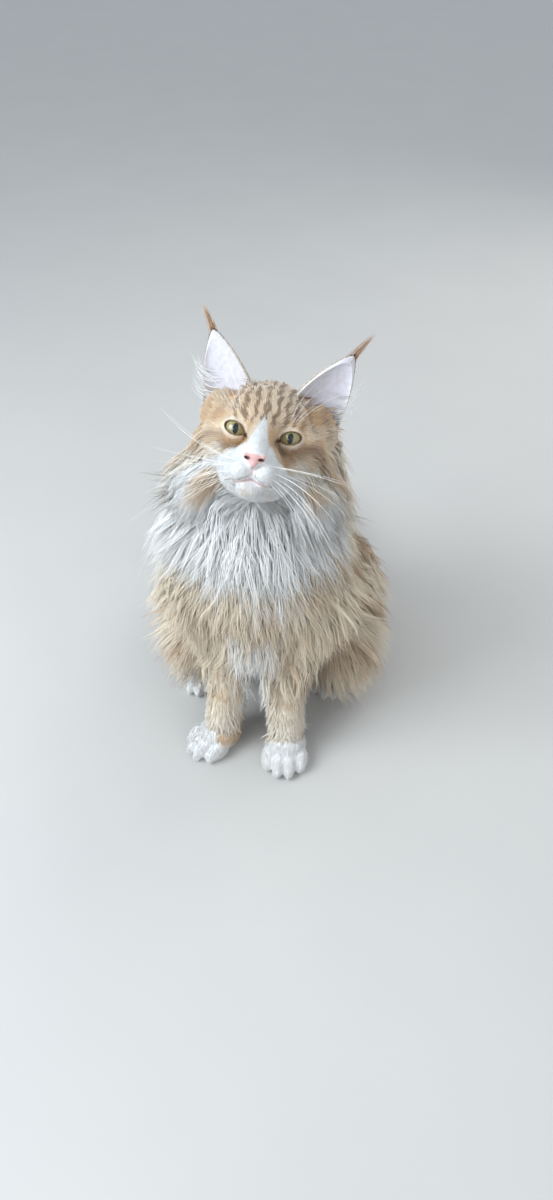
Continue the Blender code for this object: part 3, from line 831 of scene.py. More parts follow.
@dataclass
class BodySkin:
    """Neck, trunk, forelegs, thighs and tail in one."""

    inset: float = 0.0030
    leg_inset: float = 0.0008
    voxel: float = 0.0042

    def neck(self, forms: Forms) -> None:
        """The neck and throat.

        Args:
            forms: takes them.
        """
        start = head_matrix() @ Vector((0, 0.066, -0.026))
        forms.limb([start, (0.006, 0.072, 0.345), (0, 0.066, 0.285)],
                   [NECK_RADIUS * 0.86, NECK_RADIUS * 0.98, NECK_RADIUS * 1.12], beads=14)
        forms.ball((0, 0.040, 0.300), (0.050, 0.042, 0.050))

    def trunk(self, forms: Forms) -> None:
        """Chest, barrel and rump.

        Args:
            forms: takes them.
        """
        half = CHEST_WIDTH / 2
        forms.ball((0, 0.050, 0.235), (half * 0.92, 0.056, 0.075))
        forms.ball((0, 0.085, 0.215), (half, 0.078, 0.100), turn=(-28, 0, 0))
        forms.ball((0, 0.135, 0.150), (half * 1.12, 0.090, 0.110), turn=(-34, 0, 0))
        forms.ball((0, 0.185, 0.098), (half * 1.12, 0.088, 0.090), turn=(-20, 0, 0))
        forms.ball((0, 0.045, 0.185), (0.052, 0.046, 0.060))

    def limbs(self, forms: Forms) -> None:
        """Forelegs, thighs and tail.

        Args:
            forms: takes them.
        """
        half = HIP_WIDTH / 2
        for side in Side:
            x = side.value
            forms.ball((x * half * 0.70, 0.168, 0.088), (0.040, 0.080, 0.078), turn=(-12, 0, x * -6))
            forms.ball((x * half * 0.78, 0.112, 0.072), (0.032, 0.046, 0.058), turn=(10, 0, x * 8))
            forms.ball((x * half * 0.62, 0.205, 0.062), (0.040, 0.052, 0.058))
        forms.limb(list(TAIL_LINE), [0.0347, 0.0330, 0.0310, 0.0290, 0.0260, 0.0200], beads=46)
        forms.inset = self.leg_inset
        for side in Side:
            x = side.value * FORELEG_SPACING / 2
            forms.limb([(x * 1.32, 0.040, 0.215), (x * 1.02, 0.043, 0.150), (x * 0.87, 0.022, 0.090),
                        (x, 0.006, 0.036)],
                       [FORELEG_RADIUS * 1.85, FORELEG_RADIUS * 1.38, FORELEG_RADIUS * 1.05,
                        FORELEG_RADIUS * 0.96], beads=34)

    def build(self) -> Piece:
        """The whole body without the head and paws.

        Returns:
            The piece.
        """
        forms = Forms(self.inset)
        self.neck(forms)
        self.trunk(forms)
        self.limbs(forms)
        return forms.melt("body", self.voxel, 7)


@dataclass
class PawSkin:
    """A paw with four toes, flat on the floor."""

    name: str
    place: tuple[float, float]
    turn: float
    width: float = PAW_WIDTH
    length: float = 0.0
    inset: float = 0.0007
    voxel: float = 0.0021
    toes: tuple[tuple[float, float], ...] = ((-0.72, -0.012), (-0.25, -0.021),
                                             (0.25, -0.021), (0.72, -0.012))

    def build(self) -> Piece:
        """The paw, in the cat's frame.

        Returns:
            The piece.
        """
        half = self.width / 2
        forms = Forms(self.inset)
        forms.ball((0, 0.004, 0.0158), (half * 0.90, 0.024, 0.0165))
        forms.ball((0, 0.010, 0.0238), (half * 0.76, 0.018, 0.0160))
        for x, y in self.toes:
            forms.ball((half * x, y, 0.0096), (half * 0.30, 0.0150, 0.0108), turn=(8, 0, 0))
            forms.ball((half * x, y - 0.0095, 0.0074), (half * 0.24, 0.0075, 0.0082))
        if self.length:
            forms.limb([(0, 0.010, 0.0168), (0, self.length * 0.5, 0.0172), (0, self.length, 0.020)],
                       [half * 0.72, half * 0.66, half * 0.62], beads=14)
        matrix = Matrix.Translation((*self.place, 0)) @ Matrix.Rotation(math.radians(self.turn), 4, "Z")
        forms.bm.transform(matrix)
        return forms.melt(self.name, self.voxel, 2)


# Markings
@dataclass(frozen=True)
class Palette:
    """Colours of the coat and of the bare skin."""

    orange: Colour = (0.59, 0.350, 0.170)
    deep: Colour = (0.205, 0.105, 0.052)
    cream: Colour = (0.76, 0.615, 0.435)
    pale: Colour = (0.87, 0.800, 0.690)
    white: Colour = (0.90, 0.885, 0.860)
    # muzzle is a dimmer copy of white for the face: painted shade that tones down the stronger light on the
    # face
    muzzle: Colour = (0.79, 0.790, 0.785)
    lilac: Colour = (0.61, 0.590, 0.640)
    pink: Colour = (0.68, 0.400, 0.380)
    lip: Colour = (0.66, 0.430, 0.430)
    rim: Colour = (0.105, 0.055, 0.045)
    # Painted shade for the nostril hollows and the mouth's crease
    hollow_shade: Colour = (0.105, 0.036, 0.030)
    tan: Colour = (0.66, 0.450, 0.265)


class Paint:
    """Colours at a set of places, laid over one another."""

    def __init__(self, points: Array, ground: Colour | Array) -> None:
        """Starts with one colour all over, or one for each place."""
        self.points = points
        self.colours = np.broadcast_to(ground, points.shape)

    def lay(self, colour: Colour | Array, share: Array) -> None:
        """Moves the colours towards another by each place's share."""
        self.colours = mixed(self.colours, colour, share)


@dataclass
class Markings:
    """Red tabby and white, as functions of the place on the cat."""

    palette: Palette
    to_head: Matrix = field(default_factory=lambda: head_matrix().inverted())

    # Tan patches in the white of the cheeks and chin, in the head's frame: x, y, z, size and strength
    PATCHES = ((-0.036, 0.021, -0.042, 0.0125, 0.90), (0.044, 0.018, -0.036, 0.0090, 0.85),
               (-0.0040, -0.0280, -0.0510, 0.0072, 0.34), (0.0180, -0.0040, -0.0560, 0.0085, 0.60),
               (-0.0120, -0.0040, -0.0570, 0.0080, 0.60))

    def at(self, points: Array, normals: Array, zones: Array) -> Array:
        """Colours of the coat.

        Args:
            points: places on the skin, in the cat's frame.
            normals: the skin's directions there.
            zones: the number of the zone of each.

        Returns:
            One colour a row.
        """
        colours = self.body(points)
        head = zones == Zone.HEAD.value
        colours[head] = self.head(points[head])
        for side in Side:
            ear = zones == Zone[f"EAR_{side.name}"].value
            colours[ear] = self.ear(points[ear], normals[ear], side)
        for zone, rule in ((Zone.FOREPAWS, self.forepaw), (Zone.HIND_PAWS, self.hind_paw)):
            chosen = zones == zone.value
            colours[chosen] = rule(points[chosen])
        return np.clip(colours, 0.01, 0.95)

    def body(self, points: Array) -> Array:
        """Trunk, neck, legs and tail.

        Args:
            points: places in the cat's frame.

        Returns:
            One colour a row.
        """
        tint = self.palette
        x, y, z = points.T
        blur = Ripples(0.045, 3).at(points) * 0.016
        paint = Paint(points, tint.cream)
        swirl = np.sin((z * 0.75 + y * 0.55 + Ripples(0.12, 5).at(points) * 0.016) * 2 * math.pi / 0.052)
        behind = smooth(0.04, 0.11, y + blur)
        paint.lay(tint.orange, smooth(-0.1, 0.9, swirl) * (0.30 + 0.55 * behind))
        spine = (1 - smooth(0.010, 0.026, np.abs(x + blur * 0.4))) * smooth(0.08, 0.12, y) * (z > 0.07)
        paint.lay(tint.deep, spine * 0.55)
        paint.lay(tint.deep, smooth(0.35, 1.0, swirl) * (0.10 + 0.36 * behind))
        self.tail(paint)
        self.forelegs(paint)
        low = (1 - smooth(0.045, 0.085, z)) * (y < 0.20) * (np.abs(x) < 0.125)
        paint.lay(tint.pale, low * 0.55)
        self.bib(paint)
        return paint.colours

    def bib(self, paint: Paint) -> None:
        """The white of throat and chest, with the cream band below it.

        Args:
            paint: of the body.
        """
        tint = self.palette
        x, y, z = paint.points.T
        blur = Ripples(0.035, 8).at(paint.points)
        azimuth = np.abs(np.degrees(np.arctan2(x - 0.004, -(y - NECK_AXIS)))) + blur * 9
        reach = np.interp(z, (0.262, 0.285, 0.312, 0.40), (12, 46, 92, 104))
        bib = (1 - smooth(-10, 12, azimuth - reach)) * smooth(0.250, 0.285, z + blur * 0.010)
        low = (1 - smooth(0.014, 0.024, np.abs(x) + blur * 0.003)) * (y < 0.10) * (z > 0.06)
        low = low * (1 - smooth(0.175, 0.205, z + blur * 0.01))
        band = smooth(0.19, 0.215, z) * (1 - smooth(0.265, 0.295, z)) * (1 - smooth(60, 90, azimuth))
        paint.lay(tint.cream, band * 0.5)
        paint.lay(tint.orange, band * smooth(0.0, 0.8, blur) * 0.4)
        paint.lay(tint.white, np.maximum(bib, low))

    def tail(self, paint: Paint) -> None:
        """Rings of the tail.

        Args:
            paint: of the body.
        """
        tint = self.palette
        x, y, _ = paint.points.T
        run = np.where(y > 0.38, 0.40 - x, y) * 2 * math.pi / 0.046
        rings = smooth(-0.1, 0.8, np.sin(run + Ripples(0.08, 6).at(paint.points) * 0.8))
        ringed = Paint(paint.points, tint.orange)
        ringed.lay(tint.deep, rings * 0.42)
        ringed.lay(tint.cream, (1 - rings) * 0.45)
        paint.lay(ringed.colours, smooth(0.25, 0.28, y))

    def forelegs(self, paint: Paint) -> None:
        """Cream forelegs with faint orange bars.

        Args:
            paint: of the body.
        """
        tint = self.palette
        points = paint.points
        x, y, z = points.T
        leg = (1 - smooth(0.135, 0.185, z)) * (y < 0.075) * (np.abs(x) < 0.068)
        bars = smooth(0.1, 0.9, np.sin(z * 2 * math.pi / 0.026 + Ripples(0.05, 7).at(points) * 1.2))
        barred = Paint(points, tint.cream)
        barred.lay(tint.orange, bars * 0.5)
        barred.lay(tint.pale, smooth(0.0, 1.0, Ripples(0.03, 9).at(points)) * 0.35)
        paint.lay(barred.colours, leg)

    def forepaw(self, points: Array) -> Array:
        """White toes, with cream above and on the inner side of the right paw.

        Args:
            points: places in the cat's frame.

        Returns:
            One colour a row.
        """
        tint = self.palette
        x, y, z = points.T
        blur = Ripples(0.018, 11).at(points) * 0.004
        right = x < 0
        edge = np.where(right, (x + 0.034) * 0.9 + (z - 0.022) * 0.9 + blur,
                        (z - 0.027) * 1.0 + (y + 0.004) * 0.7 + (0.030 - x) * 0.22 + blur)
        paint = Paint(points, tint.white)
        paint.lay(tint.tan, smooth(-0.003, 0.005, edge))
        return paint.colours

    def hind_paw(self, points: Array) -> Array:
        """White toes below pale cream.

        Args:
            points: places in the cat's frame.

        Returns:
            One colour a row.
        """
        blur = Ripples(0.02, 12).at(points) * 0.004
        paint = Paint(points, self.palette.white)
        paint.lay(self.palette.pale, smooth(0.0, 0.012, points[:, 1] - 0.115 + blur))
        return paint.colours

    def head(self, points: Array) -> Array:
        """The mask of the face, crown and cheeks.

        Args:
            points: places in the cat's frame.

        Returns:
            One colour a row.
        """
        tint = self.palette
        local = moved(points, self.to_head)
        x, y, z = local.T
        wide = np.abs(x)
        blur = Ripples(0.016, 21).at(local)
        paint = Paint(local, tint.orange)
        paint.lay(tint.cream, smooth(-0.8, 0.8, Ripples(0.03, 22).at(local)) * 0.75)
        self.stripes(paint)
        self.eye_rings(paint)
        slope = np.where(x > 0, 0.98, 0.52)
        start = np.where(x > 0, 0.0075, 0.0085)
        border = -0.0105 - np.maximum(wide - start, 0) * slope + blur * 0.0016
        muzzle = 1 - smooth(-0.0016, 0.0016, z - border)
        muzzle = muzzle * (1 - smooth(0.030, 0.046, y + blur * 0.004))
        half = np.interp(z, (-0.024, -0.012, -0.002, 0.006, 0.012), (0.014, 0.0088, 0.0050, 0.0024, 0.0))
        blaze = (1 - smooth(-0.0010, 0.0012, wide - half - blur * 0.0006)) * (z < 0.0125)
        below = (1 - smooth(-0.034, -0.024, z + blur * 0.003)) * (1 - smooth(0.050, 0.075, y))
        cheek = (1 - smooth(-0.024, -0.013, z + blur * 0.003)) * smooth(0.024, 0.032, wide)
        paint.lay(tint.pale, cheek * (1 - smooth(0.055, 0.080, y)) * 0.85)
        white = np.maximum.reduce([muzzle, blaze, below])
        # The face's white is laid in the dimmer muzzle white: painted shade against the stronger light on
        # the face.
        paint.lay(tint.muzzle, white)
        for across, back, height, size, share in self.PATCHES:
            away = (x - across) ** 2 + (y - back) ** 2 + (z - height) ** 2
            paint.lay(tint.tan, smooth(0.2, 0.85, np.exp(-away / size ** 2)) * share)
        return paint.colours

    def stripes(self, paint: Paint) -> None:
        """Wavy stripes of the forehead, cheeks and crown, laid deeper on the cat's left, where part of their
        depth is painted shade.

        Args:
            paint: of the head, in its own frame.
        """
        tint, local = self.palette, paint.points
        x, y, z = local.T
        wide = np.abs(x)
        rise = y + z
        wave = Ripples(0.020, 24).at(local) * 0.0014 + np.sin(rise * 2 * math.pi / 0.0165) * 0.0010
        lines = smooth(-0.10, 0.60, np.cos((wide + wave) * 2 * math.pi / 0.0079))
        brow = smooth(0.0015, 0.0075, z - 0.10 * wide) * (1 - smooth(0.024, 0.034, wide))
        paint.lay(tint.deep, lines * brow * 0.92)
        paint.lay(tint.cream, (1 - lines) * brow * 0.55)
        run = z + 0.010 + (y - 0.010) * 0.55 + Ripples(0.02, 25).at(local) * 0.002
        cheek = np.exp(-(run / 0.0048) ** 2) + np.exp(-((run + 0.0165) / 0.0046) ** 2)
        cheek = cheek * smooth(0.026, 0.034, wide) * (1 - smooth(0.055, 0.070, y))
        run = wide + 0.35 * z + Ripples(0.025, 26).at(local) * 0.0022
        temple = smooth(0.1, 0.8, np.cos(run * 2 * math.pi / 0.0108)) * smooth(0.026, 0.032, wide)
        temple = temple * smooth(0.002, 0.010, z) * (1 - smooth(0.035, 0.050, y))
        # On the cat's left, the side away from the key light, the temple, under-eye and cheek stripes are
        # deeper and the under-eye patch wider: partly markings, partly painted shade of that side.
        left = x > 0
        paint.lay(tint.deep, temple * np.where(left, 0.55, 0.32))
        size = np.where(left, 1.45, 1.0)
        under = np.exp(-((wide - 0.0290) / (0.0085 * size)) ** 2 - ((z + 0.0125) / (0.0050 * size)) ** 2)
        under = under * (y < 0.035) * np.clip(0.85 + 0.45 * Ripples(0.011, 27).at(local), 0.2, 1.1)
        paint.lay(tint.deep, under * np.where(left, 0.80, 0.50))
        paint.lay(tint.deep, np.clip(cheek, 0, 1) * np.where(left, 0.92, 0.60))

    def eye_rings(self, paint: Paint) -> None:
        """Pale rings round the lids, with darker inner corners.

        Args:
            paint: of the head, in its own frame.
        """
        for side in Side:
            away = paint.points - np.array(eye_centre(side))
            far = np.sqrt(away[:, 0] ** 2 + (away[:, 2] * 1.22) ** 2 + (away[:, 1] * 0.35) ** 2)
            front = away[:, 1] < 0.004
            ring = smooth(0.0078, 0.0094, far) * (1 - smooth(0.0100, 0.0125, far)) * front
            paint.lay(self.palette.pale, ring * 0.50)
            corner = away - np.array((side.value * -0.0108, -0.0085, -0.0052))
            near = np.exp(-np.sum(corner ** 2, axis=-1) / 0.0046 ** 2)
            paint.lay((0.26, 0.115, 0.055), smooth(0.30, 0.85, near) * 0.85)

    def ear(self, points: Array, normals: Array, side: Side) -> Array:
        """Orange backs and edges, and pale cups.

        Args:
            points: places in the cat's frame.
            normals: the skin's directions there.
            side: which ear.

        Returns:
            One colour a row.
        """
        tint = self.palette
        matrix = ear_matrix(side).inverted()
        local, facing = moved(points, matrix), turned(normals, matrix)
        height = local[:, 2]
        paint = Paint(local, tint.orange)
        paint.lay(tint.deep, smooth(0.048, 0.064, height) * 0.55)
        paint.lay(tint.cream, smooth(-0.5, 0.8, Ripples(0.02, 31).at(local)) * 0.35)
        inner = smooth(0.05, 0.35, -facing[:, 1]) * (local[:, 1] > -0.0115)
        paint.lay(tint.lilac, inner)
        outward = np.abs(local[:, 0]) / ear_edge(np.clip(height / EAR_HEIGHT, 0, 0.988))
        paint.lay(tint.pale, smooth(0.75, 0.96, outward) * inner * 0.45)
        paint.lay(tint.pale, smooth(0.62, 0.86, outward) * (1 - inner) * 0.75)
        return paint.colours

    def bare(self, points: Array, zones: Array, colours: Array) -> tuple[Array, Array]:
        """Nose leather, lips and lid rims, with painted shade in the nostrils and along the mouth's crease.

        Args:
            points: places on the skin, in the cat's frame.
            zones: the zone of each.
            colours: the coat's colours there.

        Returns:
            The colours with the bare skin laid in, and how bare each place is.
        """
        tint = self.palette
        local = moved(points, self.to_head)
        x, y, z = local.T
        wide = np.abs(x)
        head = zones == Zone.HEAD.value
        paint = Paint(local, colours)
        low = np.interp(wide, (0.0, 0.0018, 0.0045, 0.0092), (-0.0325, -0.0302, -0.0266, -0.0240))
        nose = smooth(-0.0006, 0.0006, z - low) * (1 - smooth(-0.0208, -0.0192, z)) * (y < -0.0345)
        nose = nose * (1 - smooth(0.0086, 0.0096, wide)) * head
        paint.lay(tint.pink, nose)
        hole = ((wide - 0.0056) / 0.0030) ** 2 + ((y + 0.0405) / 0.0044) ** 2
        hole = hole + ((z + 0.0241) / 0.0013) ** 2
        # Painted shade in the nostril hollows.
        paint.lay(tint.hollow_shade, (1 - smooth(0.7, 1.15, hole)) * head)
        line = np.exp(-(wide / 0.0011) ** 2) * (z > -0.0415) * (z < -0.0290) * (y < -0.032) * head
        paint.lay(tint.lip, line * 0.9)
        away = z - mouth_height(wide)
        lip = np.exp(-(away / 0.0012) ** 2) * (1 - smooth(0.010, 0.0185, wide)) * (y < -0.014) * head
        paint.lay(tint.lip, lip * 0.85)
        # Painted shade along the mouth's crease.
        mouth_shade = np.exp(-(away / 0.0006) ** 2) * (1 - smooth(0.010, 0.018, wide)) * (y < -0.016) * head
        paint.lay(tint.hollow_shade, mouth_shade * 0.30)
        bared = [nose, line, lip]
        for side in Side:
            turn = Euler((0, math.radians(side.value * -LID_TURN), 0)).to_matrix().to_4x4()
            eye = moved(local - np.array(lid_centre(side)), turn.inverted())
            far = np.linalg.norm(eye / (LID_OPENING[0], LID_OPENING[1] * 1.25, LID_OPENING[2]), axis=1)
            bared.append((1 - smooth(1.06, 1.20, far)) * head)
            paint.lay(tint.rim, bared[-1])
        return paint.colours, np.maximum.reduce(bared)


# The skin as a whole
class Skin:
    """One closed skin of the whole cat, with the zone of each of its points."""

    FLESH = ("head", "ear_left", "ear_right", "neck", "torso", "foreleg_left", "foreleg_right",
             "forepaw_left", "forepaw_right", "haunch_left", "haunch_right", "hind_paw_left",
             "hind_paw_right", "tail_base", "tail_middle", "tail_tip")

    def __init__(self, markings: Markings) -> None:
        """Builds the skin, reads its mesh and lays the markings on it.

        Args:
            markings: the colours of the coat.
        """
        self.markings = markings
        self.piece = self.assemble()
        self.tree = surface_of(self.piece)
        self.read()
        self.paint()

    def assemble(self) -> Piece:
        """Builds the parts and joins them into one.

        Returns:
            The piece.
        """
        parts = {
            Zone.HEAD: [HeadSkin().build()],
            Zone.EAR_LEFT: [EarSkin(Side.LEFT).build()],
            Zone.EAR_RIGHT: [EarSkin(Side.RIGHT).build()],
            Zone.FOREPAWS: [PawSkin("forepaw_left", (0.037, -0.004), 5).build(),
                            PawSkin("forepaw_right", (-0.041, 0.0), -42).build()],
            Zone.HIND_PAWS: [PawSkin("hind_paw_left", (0.068, 0.118), 10, 0.044, 0.080).build(),
                             PawSkin("hind_paw_right", (-0.078, 0.096), -12, 0.044, 0.085).build()],
        }
        skin = BodySkin().build()
        skin.name = "skin"
        self.sources = [(Zone.BODY, surface_of(skin), self.box(skin))]
        for zone, pieces in parts.items():
            for piece in pieces:
                self.sources.append((zone, surface_of(piece), self.box(piece)))
                combine(skin, piece, "UNION")
        return skin

    @staticmethod
    def box(piece: Piece) -> tuple[Array, Array]:
        """Lowest and highest corner of a piece, a little widened."""
        points = np.array([v.co for v in piece.data.vertices])
        return points.min(axis=0) - 0.0006, points.max(axis=0) + 0.0006

    def read(self) -> None:
        """Takes points, triangles, normals and zones of the joined mesh."""
        mesh = self.piece.data
        count = len(mesh.vertices)
        self.points = np.empty(count * 3)
        mesh.vertices.foreach_get("co", self.points)
        self.points = self.points.reshape(-1, 3)
        self.points[:, 2] = np.maximum(self.points[:, 2], 0)
        mesh.vertices.foreach_set("co", self.points.ravel())
        mesh.calc_loop_triangles()
        self.triangles = np.empty(len(mesh.loop_triangles) * 3, dtype=np.int64)
        mesh.loop_triangles.foreach_get("vertices", self.triangles)
        self.triangles = self.triangles.reshape(-1, 3)
        corners = self.points[self.triangles]
        cross = np.cross(corners[:, 1] - corners[:, 0], corners[:, 2] - corners[:, 0])
        self.areas = np.linalg.norm(cross, axis=1) / 2
        sums = np.zeros((count, 3))
        for i in range(3):
            np.add.at(sums, self.triangles[:, i], cross)
        self.normals = unit(sums)
        self.zones = self.find_zones()
        self.centres = corners.mean(axis=1)
        self.facings = unit(cross)
        self.face_zones = self.zones[self.triangles[:, 0]]

    def find_zones(self) -> Array:
        """The zone of each point: that of the part whose surface it lies on.

        Returns:
            The number of the zone of each.
        """
        best = np.full(len(self.points), 1.0)
        zones = np.zeros(len(self.points), dtype=np.int64)
        for zone, tree, (low, high) in self.sources:
            near = np.flatnonzero(np.all((self.points > low) & (self.points < high), axis=1))
            for index in near:
                gap = tree.find_nearest(Vector(self.points[index]))[3]
                if gap < best[index] - 1e-6:
                    best[index], zones[index] = gap, zone.value
        return zones

    def paint(self) -> None:
        """Lays the markings on the skin's own points."""
        colours = self.markings.at(self.points, self.normals, self.zones)
        colours, bare = self.markings.bare(self.points, self.zones, colours)
        self.bareness = bare
        mesh = self.piece.data
        mark(mesh, colours)
        mesh.attributes.new(BARE, "FLOAT", "POINT").data.foreach_set("value", bare)
        mesh.shade_smooth()

    def roots(self, count: int, weight: Array, seed: int) -> "Roots":
        """Spreads roots over the skin.

        Args:
            count: how many.
            weight: how dense they are on each triangle, relative to the others.
            seed: of the random places.

        Returns:
            The roots with their normals and zones.
        """
        rng = np.random.default_rng(seed)
        run = np.cumsum(self.areas * weight)
        picks = np.searchsorted(run, (np.arange(count) + rng.random(count)) / count * run[-1])
        picks = np.minimum(picks, len(run) - 1)
        u, v = rng.random((2, count))
        over = u + v > 1
        u[over], v[over] = 1 - u[over], 1 - v[over]
        shares = np.stack([1 - u - v, u, v], axis=1)[..., None]
        corners = self.triangles[picks]
        points = (self.points[corners] * shares).sum(axis=1)
        normals = unit((self.normals[corners] * shares).sum(axis=1))
        return Roots(points, normals, self.face_zones[picks])


@dataclass
class Roots:
    """Places where hair grows."""

    points: Array
    normals: Array
    zones: Array

    def __len__(self) -> int:
        """How many there are."""
        return len(self.points)


# Hair
@dataclass
class Cut:
    """How the locks of a stretch of coat are shaped: a row for each, or one value for all."""

    lie: Array
    length: Array
    width: Array | float = 0.0075
    lift: Array | float = 20.0
    sag: Array | float = 0.5
    wave: Array | float = 0.05
    depth: Array | float | None = None
    fine: Array | float = 1.0
    stray: float = 0.10

    def __post_init__(self) -> None:
        """Spreads single values over all locks, and sets the depth from the length if it isn't given."""
        if self.depth is None:
            self.depth = self.length * 0.30
        for name in ("length", "width", "lift", "sag", "wave", "depth", "fine"):
            setattr(self, name, np.broadcast_to(getattr(self, name), len(self.lie)))


@dataclass(frozen=True)
class Make:
    """How each lock of a coat is made up of hairs."""

    hairs: int
    stations: int
    girth: float
    gather: float = 0.72
    sink: float = 0.0012


def full_taper(share: Array) -> Array:
    """Girth along a hair of the coat: fullest a third of the way up."""
    return np.sin(math.pi * (0.24 + 0.76 * share))


@dataclass
class Strands:
    """Tapered solid hairs with three sides, joined in one piece."""

    lines: Array
    up: Array
    girth: Array
    colours: Array
    patch: Array
    slice_of: Array
    taper: Callable[[Array], Array] = full_taper
    sharp: float = 0.42
    flat: float = 0.62
    lowest: float = 0.0001

    def frames(self) -> tuple[Array, Array]:
        """The directions across each hair and out of the coat, at each station.

        Returns:
            Both, a row for each hair.
        """
        ahead = unit(np.gradient(self.lines, axis=1))
        across = unit(np.cross(ahead, np.broadcast_to(self.up[:, None], ahead.shape)))
        return across, np.cross(across, ahead)

    def rings(self) -> Array:
        """Points of all hairs: three a station, and one at each tip.

        Returns:
            The points, a row for each hair.
        """
        hairs, stations, _ = self.lines.shape
        across, out = (rows[:, :-1] for rows in self.frames())
        share = np.linspace(0, 1, stations)
        size = (self.girth[:, None] * self.taper(share)[None])[:, :-1, None]
        body = self.lines[:, :-1]
        trio = np.stack([body + across * size, body + out * size * self.flat, body - across * size], axis=2)
        found = np.concatenate([trio.reshape(hairs, -1, 3), self.lines[:, -1:]], axis=1)
        found[..., 2] = np.maximum(found[..., 2], self.lowest)
        return found

    def normals(self) -> Array:
        """The direction each point is lit from: its own, moved towards that of the skin below.

        Returns:
            The directions, a row for each hair.
        """
        across, out = self.frames()
        trio = np.stack([across, out, -across], axis=2)[:, :-1]
        own = np.concatenate([trio.reshape(len(trio), -1, 3), out[:, -1:]], axis=1)
        return unit(own * self.sharp + self.up[:, None] * (1 - self.sharp))

    def faces(self) -> Array:
        """Triangles of one hair, as numbers of its points.

        Returns:
            Three numbers a triangle.
        """
        stations = self.lines.shape[1]
        found = [(0, 1, 2)]
        for k in range(stations - 2):
            for i in range(3):
                j = (i + 1) % 3
                here, ahead = 3 * k, 3 * k + 3
                found += [(here + j, here + i, ahead + i), (here + j, ahead + i, ahead + j)]
        last = 3 * (stations - 2)
        found += [(last + (i + 1) % 3, last + i, last + 3) for i in range(3)]
        return np.array(found)

    def stations(self) -> Array:
        """The number of the station of each point of one hair."""
        last = self.lines.shape[1] - 1
        return np.append(np.repeat(np.arange(last), 3), last)

    def maps(self) -> tuple[Array, Array]:
        """Places on the map for baking, and those that run along the hairs.

        Returns:
            Both, a row for each hair.
        """
        count = self.lines.shape[1]
        across = np.append(np.tile((1.0, 0.5, 0.0), count - 1), 0.5)
        run = np.linspace(0, 1, count)[self.stations()]
        low, high = self.slice_of[:, :1], self.slice_of[:, 1:]
        u = self.patch[:, :1] + PATCH * (low + (high - low) * across)
        v = self.patch[:, 1:] + PATCH * np.broadcast_to(run, u.shape)
        number = np.arange(len(u))[:, None] * 0.37
        length = np.linalg.norm(self.lines[:, -1] - self.lines[:, 0], axis=-1)[:, None]
        strand = np.stack([number + across * 0.9, run * length * STRAND_SCALE + number], axis=-1)
        return np.stack([u, v], axis=-1), strand


def hair_piece(name: str, sets: list[Strands]) -> Piece:
    """Joins sets of hairs into one mesh.

    Args:
        name: the piece's name.
        sets: the hairs.

    Returns:
        The piece, with its markings, maps and soft normals.
    """
    rows, faces, start = [], [], 0
    for chosen in sets:
        rings = chosen.rings()
        hairs, per_hair, _ = rings.shape
        first = start + np.arange(hairs) * per_hair
        faces.append((chosen.faces() + first[:, None, None]).reshape(-1, 3))
        rows.append((rings, chosen.normals(), chosen.colours[:, chosen.stations()], *chosen.maps()))
        start += hairs * per_hair
    points, normals, colours, bake, strand = (
        np.concatenate([part.reshape(-1, part.shape[-1]) for part in column]) for column in zip(*rows))
    corners = np.concatenate(faces)
    mesh = triangle_mesh(name, points, corners)
    mark(mesh, colours)
    for title, places in ((BAKE_MAP, bake), (STRAND_MAP, strand)):
        mesh.uv_layers.new(name=title).data.foreach_set("uv", places[corners.ravel()].ravel())
    mesh.shade_smooth()
    mesh.normals_split_custom_set_from_vertices(normals)
    return add_object(name, mesh)


